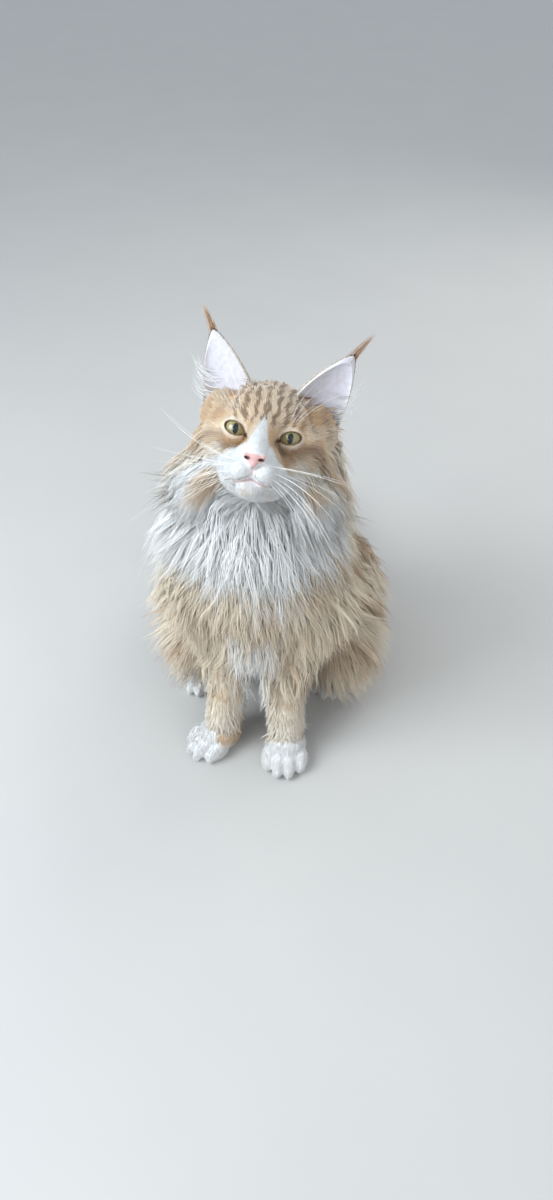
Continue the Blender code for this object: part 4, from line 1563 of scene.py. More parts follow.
@dataclass
class Coat:
    """Grows locks of hair from roots on the skin, clear of it and of the floor."""

    skin: Skin
    markings: Markings
    floor: float = 0.0008
    margin: float = 0.0085
    search: float = 0.03
    tip: Colour = (0.90, 0.84, 0.74)

    def middle_lines(self, roots: Roots, cut: Cut, make: Make, rng: np.random.Generator) -> Array:
        """The line of each lock, out of the skin at its lift and then bending down.

        Args:
            roots: where the locks grow.
            cut: how each is shaped.
            make: how each is made up.
            rng: source of all that varies.

        Returns:
            The points of each line.
        """
        count, stations = len(roots), make.stations
        lie = along(cut.lie, roots.normals)
        side = np.cross(lie, roots.normals)
        lie = unit(lie + side * rng.normal(0, cut.stray, (count, 1)))
        lift = np.radians(cut.lift + rng.normal(0, 4.0, count))[:, None]
        begin = lie * np.cos(lift) + roots.normals * np.sin(lift)
        finish = unit(begin + np.array((0, 0, -1.0)) * cut.sag[:, None])
        lines = np.empty((count, stations, 3))
        lines[:, 0] = roots.points - roots.normals * make.sink
        length = (cut.length * rng.uniform(0.80, 1.14, count))[:, None]
        phase = rng.uniform(0, 2 * math.pi, count)[:, None]
        swing = cut.wave[:, None] * length
        for k in range(1, stations):
            share = k / (stations - 1)
            turn = unit(begin * (1 - share) + finish * share)
            lines[:, k] = lines[:, k - 1] + turn * length / (stations - 1)
        for k in range(1, stations):
            share = k / (stations - 1)
            lines[:, k] += side * swing * share * np.sin(phase + share * 5.5)
        return self.clear(lines, cut.depth * rng.uniform(0.15, 1.0, count))

    def clear(self, lines: Array, depth: Array) -> Array:
        """Bends lines so that they stay outside the skin and above the floor.

        Args:
            lines: points of each line.
            depth: how far each stays from the skin at its root, and less than half of that at its tip.

        Returns:
            The lines.
        """
        find = self.skin.tree.find_nearest
        stations = lines.shape[1]
        for row, line in enumerate(lines):
            reach = float(depth[row])
            for k in range(1, stations):
                point = Vector(line[k])
                wanted = reach * (1 - 0.55 * k / (stations - 1))
                place, normal, _, _ = find(point, self.search)
                if place is not None:
                    height = (point - place).dot(normal)
                    if height < wanted:
                        line[k] = place + normal * wanted
        lines[:, 1:, 2] = np.maximum(lines[:, 1:, 2], self.floor)
        return lines

    def grow(self, roots: Roots, cut: Cut, make: Make, unwrap: Array, seed: int,
             tint: Array | None = None) -> Strands:
        """Grows one lock from each root.

        Args:
            roots: where they grow.
            cut: how each is shaped.
            make: how each is made up of hairs.
            unwrap: each root's place on the unwrap of the skin.
            seed: of all that varies.
            tint: colours of the roots, where they aren't the markings'.

        Returns:
            The hairs.
        """
        rng = np.random.default_rng(seed)
        count, hairs, stations = len(roots), make.hairs, make.stations
        middle = self.middle_lines(roots, cut, make, rng)
        ahead = unit(middle[:, -1] - middle[:, 0])
        across = unit(np.cross(ahead, roots.normals))
        share = np.linspace(0, 1, stations)
        places = (np.arange(hairs) + 0.5) / hairs * 2 - 1 if hairs > 1 else np.zeros(1)
        spread = places[None] + rng.normal(0, 0.22, (count, hairs)) * (hairs > 1)
        gather = 1 - make.gather * share ** 0.8
        flare = rng.normal(0, 0.20, (count, hairs))[..., None] * share[None, None] ** 2
        half = (cut.width / 2)[:, None, None]
        offset = (spread[..., None] * gather[None, None] + flare * (hairs > 1)) * half
        height = rng.uniform(0, 0.30, (count, hairs))[..., None] * half * gather
        lines = (middle[:, None] + across[:, None, None] * offset[..., None]
                 + roots.normals[:, None, None] * height[..., None])
        short = rng.uniform(0.72, 1.0, (count, hairs)) if hairs > 1 else np.ones((count, hairs))
        lines = lines[:, :, :1] + (lines - lines[:, :, :1]) * short[..., None, None]
        lines = held(lines.reshape(count * hairs, stations, 3), self.margin)
        lines[:, 1:, 2] = np.maximum(lines[:, 1:, 2], self.floor * 0.6)
        colours = self.shade(roots, tint, make, rng)
        low = np.tile(np.arange(hairs) / hairs, count)
        return Strands(lines, np.repeat(roots.normals, hairs, axis=0),
                       make.girth * np.repeat(cut.fine, hairs) * rng.uniform(0.75, 1.2, count * hairs),
                       colours, np.repeat(unwrap, hairs, axis=0),
                       np.stack([low, low + 1 / hairs], axis=1))

    def shade(self, roots: Roots, tint: Array | None, make: Make, rng: np.random.Generator) -> Array:
        """Colours of each station of each hair, darker at the root with painted shade among the hairs, and
        paler at the tip.

        Args:
            roots: where the locks grow.
            tint: colours of the roots, where they aren't the markings'.
            make: how each lock is made up.
            rng: source of all that varies.

        Returns:
            One row a hair.
        """
        count, hairs, share = len(roots), make.hairs, np.linspace(0, 1, make.stations)
        base = tint if tint is not None else self.markings.at(roots.points, roots.normals, roots.zones)
        lock = 1 + rng.normal(0, 0.055, count)
        hair = lock[:, None] * (1 + rng.normal(0, 0.060, (count, hairs)))
        # Painted shade: each hair darkens towards its root, as if shaded by the coat over it, and lightens a
        # little towards its tip.
        run = np.interp(share, (0, 0.35, 1), (0.94, 1.0, 1.04))
        rows = base[:, None, None] * hair[..., None, None] * run[None, None, :, None]
        rows = rows + (np.array(self.tip) - rows) * (0.16 * share ** 1.5)[None, None, :, None]
        return np.clip(rows, 0.01, 0.96).reshape(count * hairs, len(share), 3)

    def piece(self, name: str, roots: Roots, cut: Cut, make: Make, seed: int,
              centre: Triple) -> Piece:
        """One piece of the coat, whose roots are unwrapped about a centre."""
        unwrap = round_unwrap(roots.points, centre)
        return hair_piece(name, [self.grow(roots, cut, make, unwrap, seed)])


# Places on the unwrap of the skin
def round_unwrap(points: Array, centre: Triple) -> Array:
    """Longitude and latitude about a centre, as shares from 0 to 1.

    Args:
        points: places in the cat's frame.
        centre: what they are seen from.

    Returns:
        Two shares a place.
    """
    away = unit(points - np.array(centre))
    u = np.arctan2(away[:, 0], -away[:, 1]) / (2 * math.pi) + 0.5
    v = np.arcsin(np.clip(away[:, 2], -1, 1)) / math.pi + 0.5
    return np.stack([u, v], axis=1) * 0.96 + 0.02


def nearest_on(line: Array, points: Array) -> Array:
    """The number of the point of a line that is nearest to each place."""
    return np.linalg.norm(points[:, None] - line[None], axis=-1).argmin(axis=1)


def tube_unwrap(points: Array, line: Array) -> Array:
    """The way along a line and round it, as shares from 0 to 1.

    Args:
        points: places in the cat's frame.
        line: points along the middle of the tube.

    Returns:
        Two shares a place.
    """
    nearest = nearest_on(line, points)
    away = points - line[nearest]
    u = np.arctan2(away[:, 0] + away[:, 1] * 0.3, away[:, 2]) / (2 * math.pi) + 0.5
    fine = dot(away, unit(np.gradient(line, axis=0))[nearest])[:, 0] / np.linalg.norm(line[1] - line[0])
    v = (nearest + np.clip(fine, -0.5, 0.5)) / (len(line) - 1)
    return np.stack([u, np.clip(v, 0, 1)], axis=1) * 0.96 + 0.02


def tail_points(count: int = 60) -> Array:
    """Points along the middle of the tail."""
    line = [Vector(p) for p in TAIL_LINE]
    return np.array([on_curve(line, i / (count - 1)) for i in range(count)])


@dataclass
class HeadCoat:
    """Short fur of the face, denser fur of the crown, and the long cheeks."""

    coat: Coat
    nose: Triple = (0.0, -0.0385, -0.0235)

    def __post_init__(self) -> None:
        """Reads the skin in the head's own frame."""
        self.skin = self.coat.skin
        self.inverse = head_matrix().inverted()
        self.middle = tuple(head_matrix() @ Vector((0, 0.03, 0)))
        self.local = moved(self.skin.centres, self.inverse)
        self.on_head = self.skin.face_zones == Zone.HEAD.value
        self.bare = self.skin.bareness[self.skin.triangles].max(axis=1)

    def lie(self, local: Array) -> Array:
        """The coat runs back from the nose, and down at the cheeks and chin.

        Args:
            local: places in the head's frame.

        Returns:
            Directions in the cat's frame.
        """
        x, _, z = local.T
        away = unit(local - np.array(self.nose))
        low = smooth(0.004, -0.030, z)
        pull = rows_of(np.sign(x) * 0.25 * smooth(0.004, 0.02, np.abs(x)), 0.15, -0.55 * low + 0.05)
        return turned(unit(away + pull), head_matrix())

    def length(self, local: Array) -> Array:
        """Short on the muzzle and round the eyes, longer towards the ruff.

        Args:
            local: places in the head's frame.

        Returns:
            One length a place.
        """
        x, _, z = local.T
        far = np.linalg.norm(local - np.array(self.nose), axis=1)
        grown = np.interp(far, (0.0, 0.016, 0.034, 0.055, 0.085, 0.105, 0.13),
                          (0.0018, 0.0030, 0.0046, 0.0060, 0.0088, 0.014, 0.023))
        cheek = smooth(0.030, 0.042, np.abs(x)) * smooth(0.012, -0.02, z)
        grown = grown * (1 + 0.7 * cheek)
        for side in Side:
            gap = np.linalg.norm((local - np.array(eye_centre(side))) * (1, 0.6, 1.15), axis=1)
            grown = np.minimum(grown, np.interp(gap, (0.0095, 0.015, 0.030), (0.0024, 0.0046, 0.02)))
        return grown

    def cut(self, roots: Roots, width: float, lift: float) -> Cut:
        """Shapes for roots on the head.

        Args:
            roots: where the locks grow.
            width: of a lock of middle length.
            lift: of a longer lock, in degrees.

        Returns:
            The cut.
        """
        local = moved(roots.points, self.inverse)
        length = self.length(local)
        return Cut(self.lie(local), length, width * np.clip(length / 0.006, 0.45, 1.6),
                   lift * np.interp(length, (0.002, 0.008), (0.55, 1.0)), sag=0.12, wave=0.03,
                   depth=length * 0.10, fine=np.interp(length, (0.002, 0.009), (0.62, 1.1)), stray=0.06)

    def face(self) -> Piece:
        """Short fur of the face.

        Returns:
            The piece.
        """
        y = self.local[:, 1]
        weight = self.on_head * (1 - smooth(0.040, 0.052, y)) * (self.bare < 0.35)
        wide = np.abs(self.local[:, 0])
        away = np.abs(self.local[:, 2] - mouth_height(wide) - 0.0004)
        band = np.interp(wide, (0.0, 0.010, 0.020), (0.0020, 0.0017, 0.0008))
        weight = weight * ((away > band) | (y > -0.012) | (wide > 0.022))
        weight = weight * np.interp(y, (-0.035, 0.0, 0.04), (2.2, 1.3, 0.7))
        roots = self.skin.roots(18000, weight, 101)
        return self.coat.piece("face_fur", roots, self.cut(roots, 0.0020, 11),
                               Make(1, 3, 0.00040, sink=0.0004), 102, self.middle)

    def crown(self) -> Piece:
        """Fur of the crown and the back of the head."""
        roots = self.skin.roots(3700, self.on_head * smooth(0.030, 0.045, self.local[:, 1]), 103)
        return self.coat.piece("crown_fur", roots, self.cut(roots, 0.0026, 20), Make(2, 4, 0.00052), 104,
                               self.middle)

    def cheeks(self) -> Piece:
        """Long locks of cheeks and jaw, longer and finer towards the ruff that they run into.

        Returns:
            The piece.
        """
        _, y, z = self.local.T
        weight = self.on_head * smooth(0.010, 0.030, y) * (1 - smooth(0.065, 0.085, y))
        weight = weight * smooth(0.006, -0.014, z)
        roots = self.skin.roots(1850, weight, 105)
        x, y, z = moved(roots.points, self.inverse).T
        length = (0.022 + 0.042 * smooth(0.008, 0.050, y)) * (1 - 0.42 * smooth(-0.020, 0.0, z))
        lie = turned(unit(rows_of(np.sign(x) * 0.80, 0.40, -0.66)), head_matrix())
        cut = Cut(lie, length, width=0.0055, lift=32.0, sag=0.42, wave=0.06, depth=length * 0.26,
                  fine=np.interp(np.abs(x), (0.015, 0.035), (0.72, 1.0)))
        return self.coat.piece("cheek_fur", roots, cut, Make(5, 4, 0.00036, gather=0.5), 106, self.middle)


@dataclass
class EarCoat:
    """Short fur of the ears, their wisps and the tufts at their tips."""

    coat: Coat
    wisps: int = 26
    tuft: int = 64
    stations: int = 5

    def short(self, side: Side) -> Strands:
        """Short fur that lies towards the tip.

        Args:
            side: which ear.

        Returns:
            The hairs.
        """
        skin = self.coat.skin
        zone = Zone[f"EAR_{side.name}"].value
        matrix = ear_matrix(side)
        facing = turned(skin.facings, matrix.inverted())
        weight = (skin.face_zones == zone) * np.where(facing[:, 1] < -0.1, 0.0, 1.0)
        roots = skin.roots(2300, weight, 201 + side.value)
        local = moved(roots.points, matrix.inverted())
        inner = turned(roots.normals, matrix.inverted())[:, 1] < -0.1
        lie = rows_of(np.sign(local[:, 0]) * np.where(inner, 0.55, 0.18), 0.0, 1.0)
        length = np.where(inner, 0.0050, 0.0046) * np.interp(local[:, 2], (0, 0.06), (1.25, 0.8))
        cut = Cut(turned(lie, matrix), length, width=0.002, lift=12.0, sag=0.0, wave=0.0, depth=0.0005)
        tint = self.coat.markings.at(roots.points, roots.normals, roots.zones)
        tint[inner] = np.array((0.88, 0.86, 0.85))
        return self.coat.grow(roots, cut, Make(1, 3, 0.00040, sink=0.0004),
                              round_unwrap(roots.points, tuple(matrix @ Vector((0, 0.0, 0.02)))),
                              203 + side.value, tint)

    def free(self, side: Side) -> Strands:
        """Long wisps that cross the cup and leave its outer edge, and the tuft at the tip.

        Args:
            side: which ear.

        Returns:
            The hairs.
        """
        rng = np.random.default_rng(210 + side.value)
        matrix, sign = ear_matrix(side), side.value
        lines, counts = [], (self.wisps, self.tuft)
        for _ in range(self.wisps):
            height = rng.uniform(0.004, 0.034)
            edge = ear_edge((height + 0.006) / EAR_HEIGHT)
            reach = edge + rng.uniform(0.000, 0.0105)
            start = Vector((edge * rng.uniform(0.15, 0.75), 0.0040, height - 0.005))
            end = Vector((reach, -0.004 + rng.normal(0, 0.0018), height + rng.uniform(0.008, 0.022)))
            bow = Vector((start.x + (end.x - start.x) * 0.72, -0.0085 + rng.normal(0, 0.0015),
                          start.z + rng.uniform(-0.001, 0.004)))
            lines.append(self.arc(start, bow, end, sign))
        for _ in range(self.tuft):
            spread = Vector((rng.normal(0, 0.0021), rng.normal(0, 0.0016), rng.normal(0, 0.0015)))
            start = Vector((0, 0.0015, EAR_HEIGHT - 0.010)) + spread
            tall = rng.uniform(0.55, 1.0)
            bow = Vector((0.0006, 0.001, EAR_HEIGHT + 0.008 * tall)) + spread * 0.55
            end = Vector((0.0062, 0.0050, EAR_HEIGHT + 0.028 * tall)) + spread * rng.uniform(0.1, 0.7)
            lines.append(self.arc(start, bow, end, sign))
        placed = np.array([[matrix @ point for point in line] for line in lines])
        paler = np.linspace(0.92, 1.06, self.stations)[None, :, None]
        tints = np.repeat(((0.92, 0.90, 0.88), (0.50, 0.290, 0.160)), counts, axis=0)
        colours = np.repeat(tints[:, None], self.stations, axis=1) * paler
        front = np.tile(np.array(matrix.to_3x3() @ Vector((0, -1, 0))), (len(lines), 1))
        unwrap = round_unwrap(placed[:, 0], tuple(matrix @ Vector((0, 0, 0.02))))
        return Strands(placed, front, np.repeat((0.00021, 0.00019), counts), np.clip(colours, 0, 0.95),
                       unwrap, np.tile((0.0, 1.0), (len(lines), 1)))

    def arc(self, start: Vector, bow: Vector, end: Vector, sign: int) -> list[Vector]:
        """Points of a curve drawn towards its bow, mirrored for the other ear.

        Args:
            start: its root.
            bow: what it is drawn towards.
            end: its tip.
            sign: that of X at this ear.

        Returns:
            The points, in the ear's frame.
        """
        found = []
        for i in range(self.stations):
            t = i / (self.stations - 1)
            point = start * (1 - t) ** 2 + bow * 2 * t * (1 - t) + end * t * t
            found.append(Vector((point.x * sign, point.y, point.z)))
        return found

    def build(self) -> Piece:
        """All hair of both ears."""
        sets = [rule(side) for side in Side for rule in (self.short, self.free)]
        return hair_piece("ear_fur", sets)


@dataclass
class BodyCoat:
    """The long coat of neck, trunk, thighs and tail."""

    coat: Coat

    def __post_init__(self) -> None:
        """Reads the skin round the cat."""
        self.skin = self.coat.skin
        self.on_body = self.skin.face_zones == Zone.BODY.value
        self.azimuth = self.angle(self.skin.centres)

    @staticmethod
    def angle(points: Array) -> Array:
        """Degrees round the cat from the front."""
        return np.abs(np.degrees(np.arctan2(points[:, 0], -(points[:, 1] - NECK_AXIS))))

    def bib(self) -> Piece:
        """The long waved front of the ruff, longest in the middle and fuller on the cat's right.

        Returns:
            The piece.
        """
        z = self.skin.centres[:, 2]
        weight = self.on_body * (1 - smooth(72, 88, self.azimuth)) * smooth(0.232, 0.262, z)
        roots = self.skin.roots(1550, weight, 301)
        x, _, z = roots.points.T
        right = smooth(0.022, 0.045, -x) * smooth(0.255, 0.290, z)
        length = np.interp(z, (0.24, 0.30, 0.36, 0.40), (0.072, 0.086, 0.080, 0.062)) + 0.012 * right
        apart = np.clip(x / 0.030, -1, 1) * (0.50 + 0.45 * smooth(0.020, 0.052, np.abs(x)))
        lift = np.interp(z, (0.26, 0.36), (18, 27)) + 9 * smooth(0.025, 0.05, x) + 19 * right
        cut = Cut(rows_of(apart, -0.08, -0.92), length, width=0.0070, lift=lift, sag=0.70,
                  wave=0.075, depth=length * 0.34)
        return self.coat.piece("bib_fur", roots, cut, Make(5, 5, 0.00038, gather=0.50), 302,
                               (0, NECK_AXIS, 0.32))

    def ruff(self) -> Piece:
        """The ruff at the sides and back of the neck and the shoulders, longest half way up.

        Returns:
            The piece.
        """
        z = self.skin.centres[:, 2]
        weight = self.on_body * smooth(68, 84, self.azimuth) * smooth(0.225, 0.255, z)
        roots = self.skin.roots(1700, weight, 303)
        x, y, z = roots.points.T
        length = np.interp(z, (0.23, 0.28, 0.34, 0.38), (0.050, 0.066, 0.078, 0.060))
        length = length + np.interp(x, (-0.03, 0.03), (0.010, -0.002)) * smooth(0.25, 0.29, z)
        out = unit(rows_of(x, y - NECK_AXIS, 0.0)) * 0.45
        lift = np.interp(z, (0.24, 0.32, 0.35, 0.38), (27, 36, 30, 22))
        cut = Cut(out + np.array((0, 0, -0.9)), length, lift=lift, sag=0.55, depth=length * 0.36)
        return self.coat.piece("ruff_fur", roots, cut, Make(5, 4, 0.00042, gather=0.50), 304,
                               (0, NECK_AXIS, 0.32))

    def chest(self) -> Piece:
        """The lower chest's coat, which hangs in front of the forelegs and is shorter between them.

        Returns:
            The piece.
        """
        x, _, z = self.skin.centres.T
        weight = self.on_body * (1 - smooth(62, 78, self.azimuth)) * (1 - smooth(0.236, 0.262, z))
        weight = weight * smooth(0.085, 0.115, z)
        weight = weight * np.where((z < 0.175) & (np.abs(x) > 0.024), 0.12, 1.0)
        roots = self.skin.roots(1080, weight, 305)
        x, _, z = roots.points.T
        length = np.interp(z, (0.09, 0.14, 0.19, 0.25), (0.040, 0.064, 0.072, 0.070))
        cut = Cut(rows_of(np.clip(x / 0.05, -1, 1) * 0.36, -0.05, -0.95), length, width=0.0068,
                  lift=16.0, sag=0.9, wave=0.07)
        return self.coat.piece("chest_fur", roots, cut, Make(5, 5, 0.00040, gather=0.50), 306,
                               (0, NECK_AXIS, 0.19))

    def back(self) -> Piece:
        """The coat of back and flanks, which lies down, out and back, and closer over the left hip.

        Returns:
            The piece.
        """
        _, y, z = self.skin.centres.T
        weight = self.on_body * smooth(58, 74, self.azimuth) * (1 - smooth(0.228, 0.256, z))
        weight = weight * smooth(0.105, 0.130, z) * (y > 0.035)
        roots = self.skin.roots(1900, weight, 307)
        x, y, z = roots.points.T
        lie = unit(rows_of(np.clip(x / 0.06, -1, 1) * 0.42, 0.30 * smooth(0.05, 0.13, y), -0.95))
        hip = smooth(0.035, 0.075, x) * smooth(0.12, 0.17, y)
        length = np.interp(z, (0.10, 0.16, 0.25), (0.066, 0.060, 0.054)) * (1 - 0.25 * hip)
        cut = Cut(lie, length, width=0.0085, lift=np.interp(z, (0.10, 0.18), (30, 22)) - 13 * hip)
        return self.coat.piece("back_fur", roots, cut, Make(5, 4, 0.00047, gather=0.50), 308,
                               (0, 0.12, 0.16))

    def thighs(self) -> Piece:
        """The coat of thighs, belly and rump, which runs outwards to the floor, and back at the rump.

        Returns:
            The piece.
        """
        x, y, z = self.skin.centres.T
        leg = (y < 0.062) & (np.abs(x) < 0.070)
        weight = self.on_body * (1 - smooth(0.105, 0.130, z)) * (y < 0.262) * ~leg
        weight = weight * (self.skin.facings[:, 2] > -0.80)
        roots = self.skin.roots(1900, weight, 309)
        x, y, z = roots.points.T
        lie = rows_of(np.clip(x / 0.075, -1, 1) * 0.62, -0.14 + 0.62 * smooth(0.14, 0.24, y), -0.80)
        knee = smooth(0.04, 0.08, x) * (1 - smooth(0.09, 0.13, y))
        cut = Cut(lie, np.interp(z, (0.0, 0.05, 0.12), (0.030, 0.054, 0.064)), width=0.0085,
                  lift=np.interp(z, (0.02, 0.10), (17, 31)) - 9 * knee, sag=0.35)
        return self.coat.piece("thigh_fur", roots, cut, Make(5, 4, 0.00047, gather=0.50), 310,
                               (0, 0.13, 0.07))

    def tail(self) -> Piece:
        """The plume of the tail, whose locks run to its tip and stand out all round it.

        Returns:
            The piece.
        """
        _, y, z = self.skin.centres.T
        line = tail_points()
        weight = self.on_body * (y > 0.250) * (z < 0.115) * smooth(0.006, 0.016, z)
        roots = self.skin.roots(1450, weight, 311)
        nearest = nearest_on(line, roots.points)
        lie = unit(np.gradient(line, axis=0))[nearest]
        length = np.interp(nearest / (len(line) - 1), (0, 0.5, 0.9, 1), (0.052, 0.062, 0.060, 0.051))
        end = np.maximum(0, dot(roots.normals, lie)[:, 0] - 0.3)
        cut = Cut(lie, length, width=0.0085, lift=25 + 80 * end, sag=0.20, wave=0.04)
        unwrap = tube_unwrap(roots.points, line)
        hairs = self.coat.grow(roots, cut, Make(5, 4, 0.00054, gather=0.60), unwrap, 312)
        return hair_piece("tail_fur", [hairs])


@dataclass
class LegCoat:
    """Close fur of forelegs and paws."""

    coat: Coat

    def legs(self) -> Piece:
        """Fur of the forelegs, longer behind and on the inner side.

        Returns:
            The piece.
        """
        skin = self.coat.skin
        x, y, z = skin.centres.T
        leg = (y < 0.075) & (np.abs(x) < 0.075) & (z < 0.190)
        weight = (skin.face_zones == Zone.BODY.value) * leg * (1 - smooth(0.155, 0.19, z))
        roots = skin.roots(4700, weight, 401)
        behind = smooth(-0.2, 0.7, roots.normals[:, 1])
        inner = smooth(0.1, 0.8, -np.sign(roots.points[:, 0]) * roots.normals[:, 0])
        length = 0.0120 + 0.018 * behind + 0.006 * inner
        cut = Cut(rows_of(0.0, 0.35 * behind, -1.0), length, width=0.0026,
                  lift=20 + 12 * behind + 12 * inner, sag=0.4, wave=0.03, depth=length * 0.16)
        return self.coat.piece("leg_fur", roots, cut, Make(2, 3, 0.00046, sink=0.0006), 402, (0, 0.02, 0.10))

    def paws(self) -> Piece:
        """Fur of the paws, which lies forwards and down, and is shortest at the floor.

        Returns:
            The piece.
        """
        skin = self.coat.skin
        fore, hind = (skin.face_zones == zone.value for zone in (Zone.FOREPAWS, Zone.HIND_PAWS))
        weight = (fore * 1.5 + hind * 0.8) * (skin.facings[:, 2] > -0.55)
        roots = skin.roots(7000, weight, 403)
        length = np.interp(roots.points[:, 2], (0.0, 0.012, 0.035), (0.0036, 0.0062, 0.0090))
        cut = Cut(np.tile((0.0, -0.8, -0.5), (len(roots), 1)), length, width=0.002, lift=13.0,
                  sag=0.15, wave=0.02, depth=0.0006)
        return self.coat.piece("paw_fur", roots, cut, Make(1, 3, 0.00036, sink=0.0005), 404, (0, 0.03, 0.0))


@dataclass
class Whiskers:
    """Long stiff hairs of the lip and brow."""

    rows: int = 4
    brows: int = 4
    stations: int = 9
    girth: float = 0.00021
    margin: float = 0.0160
    bends: dict[Side, tuple[float, ...]] = field(default_factory=lambda: {
        Side.RIGHT: (0.30, 0.04, -0.22, -0.36), Side.LEFT: (-0.14, -0.32, -0.46, -0.58)})

    def hair(self, root: Vector, away: Vector, droop: Vector, length: float) -> list[Vector]:
        """Points of one whisker, in the cat's frame.

        Args:
            root: its place, in the head's frame.
            away: the way it leaves.
            droop: the way it bends, more towards its tip.
            length: its length.

        Returns:
            The points, from root to tip.
        """
        return [head_matrix() @ (root + away * length * t + droop * length * t * t)
                for t in np.linspace(0, 1, self.stations)]

    def lip(self, side: Side, rng: np.random.Generator) -> tuple[list[list[Vector]], list[float]]:
        """Lines and girths of the rows of one lip.

        Args:
            side: which lip.
            rng: source of all that varies.

        Returns:
            Both, in turn.
        """
        sign = side.value
        lines, girths = [], []
        for row in range(self.rows):
            for column in range(3 + row % 2):
                root = Vector((sign * (0.0105 + 0.0036 * column), -0.0335 + 0.0058 * column + 0.001 * row,
                               -0.0275 - 0.0036 * row))
                length = (0.058 + 0.0090 * column) * rng.uniform(0.82, 1.06)
                away = Vector((sign * (0.95 + 0.05 * column), -0.16 + 0.10 * column + rng.normal(0, 0.05),
                               0.10 - 0.17 * row + rng.normal(0, 0.05))).normalized()
                droop = Vector((0, 0.10, self.bends[side][row])) * rng.uniform(0.7, 1.3)
                lines.append(self.hair(root, away, droop, length))
                girths.append(self.girth * rng.uniform(0.85, 1.1))
        return lines, girths

    def brow(self, side: Side, rng: np.random.Generator) -> tuple[list[list[Vector]], list[float]]:
        """Lines and girths of one brow.

        Args:
            side: which brow.
            rng: source of all that varies.

        Returns:
            Both, in turn.
        """
        sign = side.value
        lines = []
        for i in range(self.brows):
            root = eye_centre(side) + Vector((sign * (-0.002 + 0.0022 * i), -0.0075, 0.0145))
            away = Vector((sign * (0.15 + 0.16 * i), -0.50, 0.85)).normalized()
            droop = Vector((sign * 0.25, 0.50, 0.0))
            lines.append(self.hair(root, away, droop, rng.uniform(0.030, 0.044)))
        return lines, [self.girth * 0.7] * self.brows

    def build(self) -> Piece:
        """All whiskers as one piece.

        Returns:
            The piece.
        """
        rng = np.random.default_rng(501)
        lines, girths = [], []
        for side in Side:
            for rule in (self.lip, self.brow):
                found, sizes = rule(side, rng)
                lines += found
                girths += sizes
        placed = np.array([[tuple(p) for p in line] for line in lines])
        placed[:, 0] -= (placed[:, 1] - placed[:, 0]) * 0.12
        placed = held(placed, self.margin)
        count = len(lines)
        strands = Strands(placed, np.tile((0.0, -0.3, 0.95), (count, 1)), np.array(girths),
                          np.full((count, self.stations, 3), 0.92),
                          round_unwrap(placed[:, 0], tuple(HEAD_PLACE)), np.tile((0.0, 1.0), (count, 1)),
                          lambda share: 1 - 0.80 * share)
        return hair_piece("whiskers", [strands])


@dataclass
class Eye:
    """An eyeball with a raised cornea, turned to the camera's place."""

    side: Side
    bulge: float = 0.0007
    cornea: float = 0.72

    def build(self) -> Piece:
        """The eyeball, with each point's own place on it kept for its finish.

        Returns:
            The piece.
        """
        centre = head_matrix() @ eye_centre(self.side)
        gaze = (Vector(CAMERA_PLACE) - centre).normalized()
        gaze = (gaze + head_matrix().to_3x3() @ Vector((0, -1, 0)) * 0.6).normalized()
        up = head_matrix().to_3x3() @ Vector((0, 0, 1))
        across = gaze.cross(up).normalized()
        up = across.cross(gaze).normalized()
        grid = Matrix((across, -gaze, up)).transposed().to_4x4()
        bm = bmesh.new()
        bmesh.ops.create_uvsphere(bm, u_segments=72, v_segments=48, radius=1,
                                  matrix=Matrix.Rotation(math.radians(90), 4, "X"))
        places = [v.co.copy() for v in bm.verts]
        for vert in bm.verts:
            reach = math.hypot(vert.co.x, vert.co.z)
            rise = self.bulge * max(0.0, 1 - (reach / self.cornea) ** 2) if vert.co.y < 0 else 0.0
            vert.co = vert.co * (EYE_RADIUS - 0.0001 + rise)
        bm.transform(Matrix.Translation(centre) @ grid)
        piece = new_object(f"{self.side.name.lower()}_eyeball", bm)
        layer = piece.data.attributes.new(GAZE, "FLOAT_VECTOR", "POINT")
        layer.data.foreach_set("vector", np.array(places).ravel())
        piece.data.shade_smooth()
        return piece


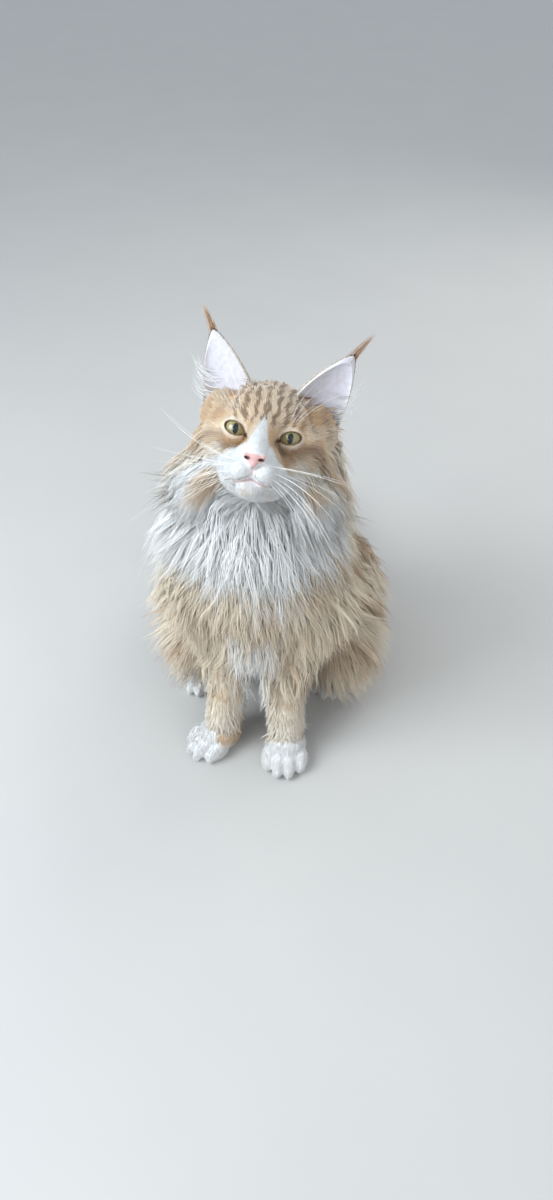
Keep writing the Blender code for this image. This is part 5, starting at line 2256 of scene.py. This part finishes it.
@dataclass
class Studio:
    """Pale floor, soft lights and the camera."""

    floor_size: float = 60.0
    key_power: float = 34.0
    fill_power: float = 5.0
    window_power: float = 2.5
    rim_power: float = 9.0
    sky: float = 0.80

    def floor(self) -> None:
        """A plain floor at the height the cat rests on."""
        bm = bmesh.new()
        bmesh.ops.create_grid(bm, x_segments=8, y_segments=8, size=self.floor_size / 2)
        floor = new_object("floor", bm)
        floor.data.materials.append(FloorFinish("Studio floor").material())

    def lamp(self, name: str, place: Triple, power: float, size: float, colour: Colour) -> None:
        """A large soft lamp, aimed at the cat's chest.

        Args:
            name: its name.
            place: in the cat's frame.
            power: in watts.
            size: of its side.
            colour: of its light.
        """
        data = bpy.data.lights.new(name, "AREA")
        data.energy, data.size, data.color = power, size, colour
        lamp = add_object(name, data)
        lamp.location = Vector(place) + OFFSET
        aim = Vector((0, 0.05, 0.25)) - Vector(place)
        lamp.rotation_euler = aim.to_track_quat("-Z", "Y").to_euler()

    def lights(self) -> None:
        """A cool key from the picture's left, a faint fill, a light behind and a small bright window."""
        self.lamp("key", (-1.15, -0.72, 1.25), self.key_power, 1.1, (0.85, 0.935, 1.0))
        self.lamp("fill", (1.2, -1.1, 1.1), self.fill_power, 1.4, (1.0, 0.95, 0.90))
        self.lamp("rim", (0.85, 1.35, 1.15), self.rim_power, 1.2, (1.0, 0.97, 0.93))
        self.lamp("window", (-0.55, -1.35, 1.05), self.window_power, 0.30, (0.95, 0.98, 1.0))
        world = bpy.data.worlds.new("Studio")
        bpy.context.scene.world = world
        world.use_nodes = True
        sky = world.node_tree.nodes["Background"]
        sky.inputs["Color"].default_value = (0.82, 0.91, 1.0, 1.0)
        sky.inputs["Strength"].default_value = self.sky

    def camera(self) -> None:
        """The camera at the photograph's place and angle."""
        data = bpy.data.cameras.new("camera")
        data.lens, data.sensor_width, data.clip_start = CAMERA_LENS, 36.0, 0.01
        camera = add_object("camera", data)
        camera.location = Vector(CAMERA_PLACE) + OFFSET
        pitch, heading = math.radians(CAMERA_PITCH), math.radians(CAMERA_HEADING)
        ahead = Vector((-math.sin(heading) * math.cos(pitch), math.cos(heading) * math.cos(pitch),
                        -math.sin(pitch)))
        camera.rotation_euler = ahead.to_track_quat("-Z", "Y").to_euler()
        bpy.context.scene.camera = camera

    def build(self) -> None:
        """Sets up the studio."""
        self.floor()
        self.lights()
        self.camera()
        bpy.context.scene.view_settings.view_transform = "Standard"


class Cat:
    """The whole model: skin, eyes, coat and whiskers."""

    def __init__(self) -> None:
        """Sets the colours and the finish of the coat."""
        self.markings = Markings(Palette())
        self.coat_material = CoatFinish("Coat").material()

    def settle(self, piece: Piece, material: bpy.types.Material,
               nodes: tuple[str, ...] = ()) -> None:
        """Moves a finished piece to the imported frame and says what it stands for.

        Args:
            piece: the finished piece.
            material: its finish.
            nodes: the solids in whose place it stands.
        """
        piece.data.transform(Matrix.Translation(OFFSET))
        piece.data.materials.clear()
        piece.data.materials.append(material)
        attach(piece, "root")
        if nodes:
            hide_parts(*nodes)
        piece.data.calc_loop_triangles()
        LOG.info("%s: %d triangles", piece.name, len(piece.data.loop_triangles))

    def build(self) -> None:
        """Builds every piece in turn."""
        skin = Skin(self.markings)
        coat = Coat(skin, self.markings)
        head, body, legs = HeadCoat(coat), BodyCoat(coat), LegCoat(coat)
        grown = ((head.face, "face_coat"), (head.crown, "face_coat"), (head.cheeks, "face_coat"),
                 (EarCoat(coat).build, "ear_coat"), (body.bib, "ruff_coat"), (body.ruff, "ruff_coat"),
                 (body.chest, "ruff_coat"), (body.back, "body_coat"), (body.thighs, "body_coat"),
                 (body.tail, "body_coat"), (legs.legs, "body_coat"), (legs.paws, "paw_coat"))
        for rule, slot in grown:
            self.settle(rule(), self.coat_material)
        self.settle(Whiskers().build(), WhiskerFinish("Whisker").material())
        self.settle(skin.piece, SkinFinish("Skin").material(), Skin.FLESH)
        eye_material = EyeFinish("Eye").material()
        for side in Side:
            self.settle(Eye(side).build(), eye_material, (f"eye_{side.name.lower()}",))


def main() -> None:
    """Builds the studio and the cat."""
    logging.basicConfig(level=logging.INFO, format="%(name)s %(message)s")
    Studio().build()
    Cat().build()


if __name__ == "__main__":
    main()
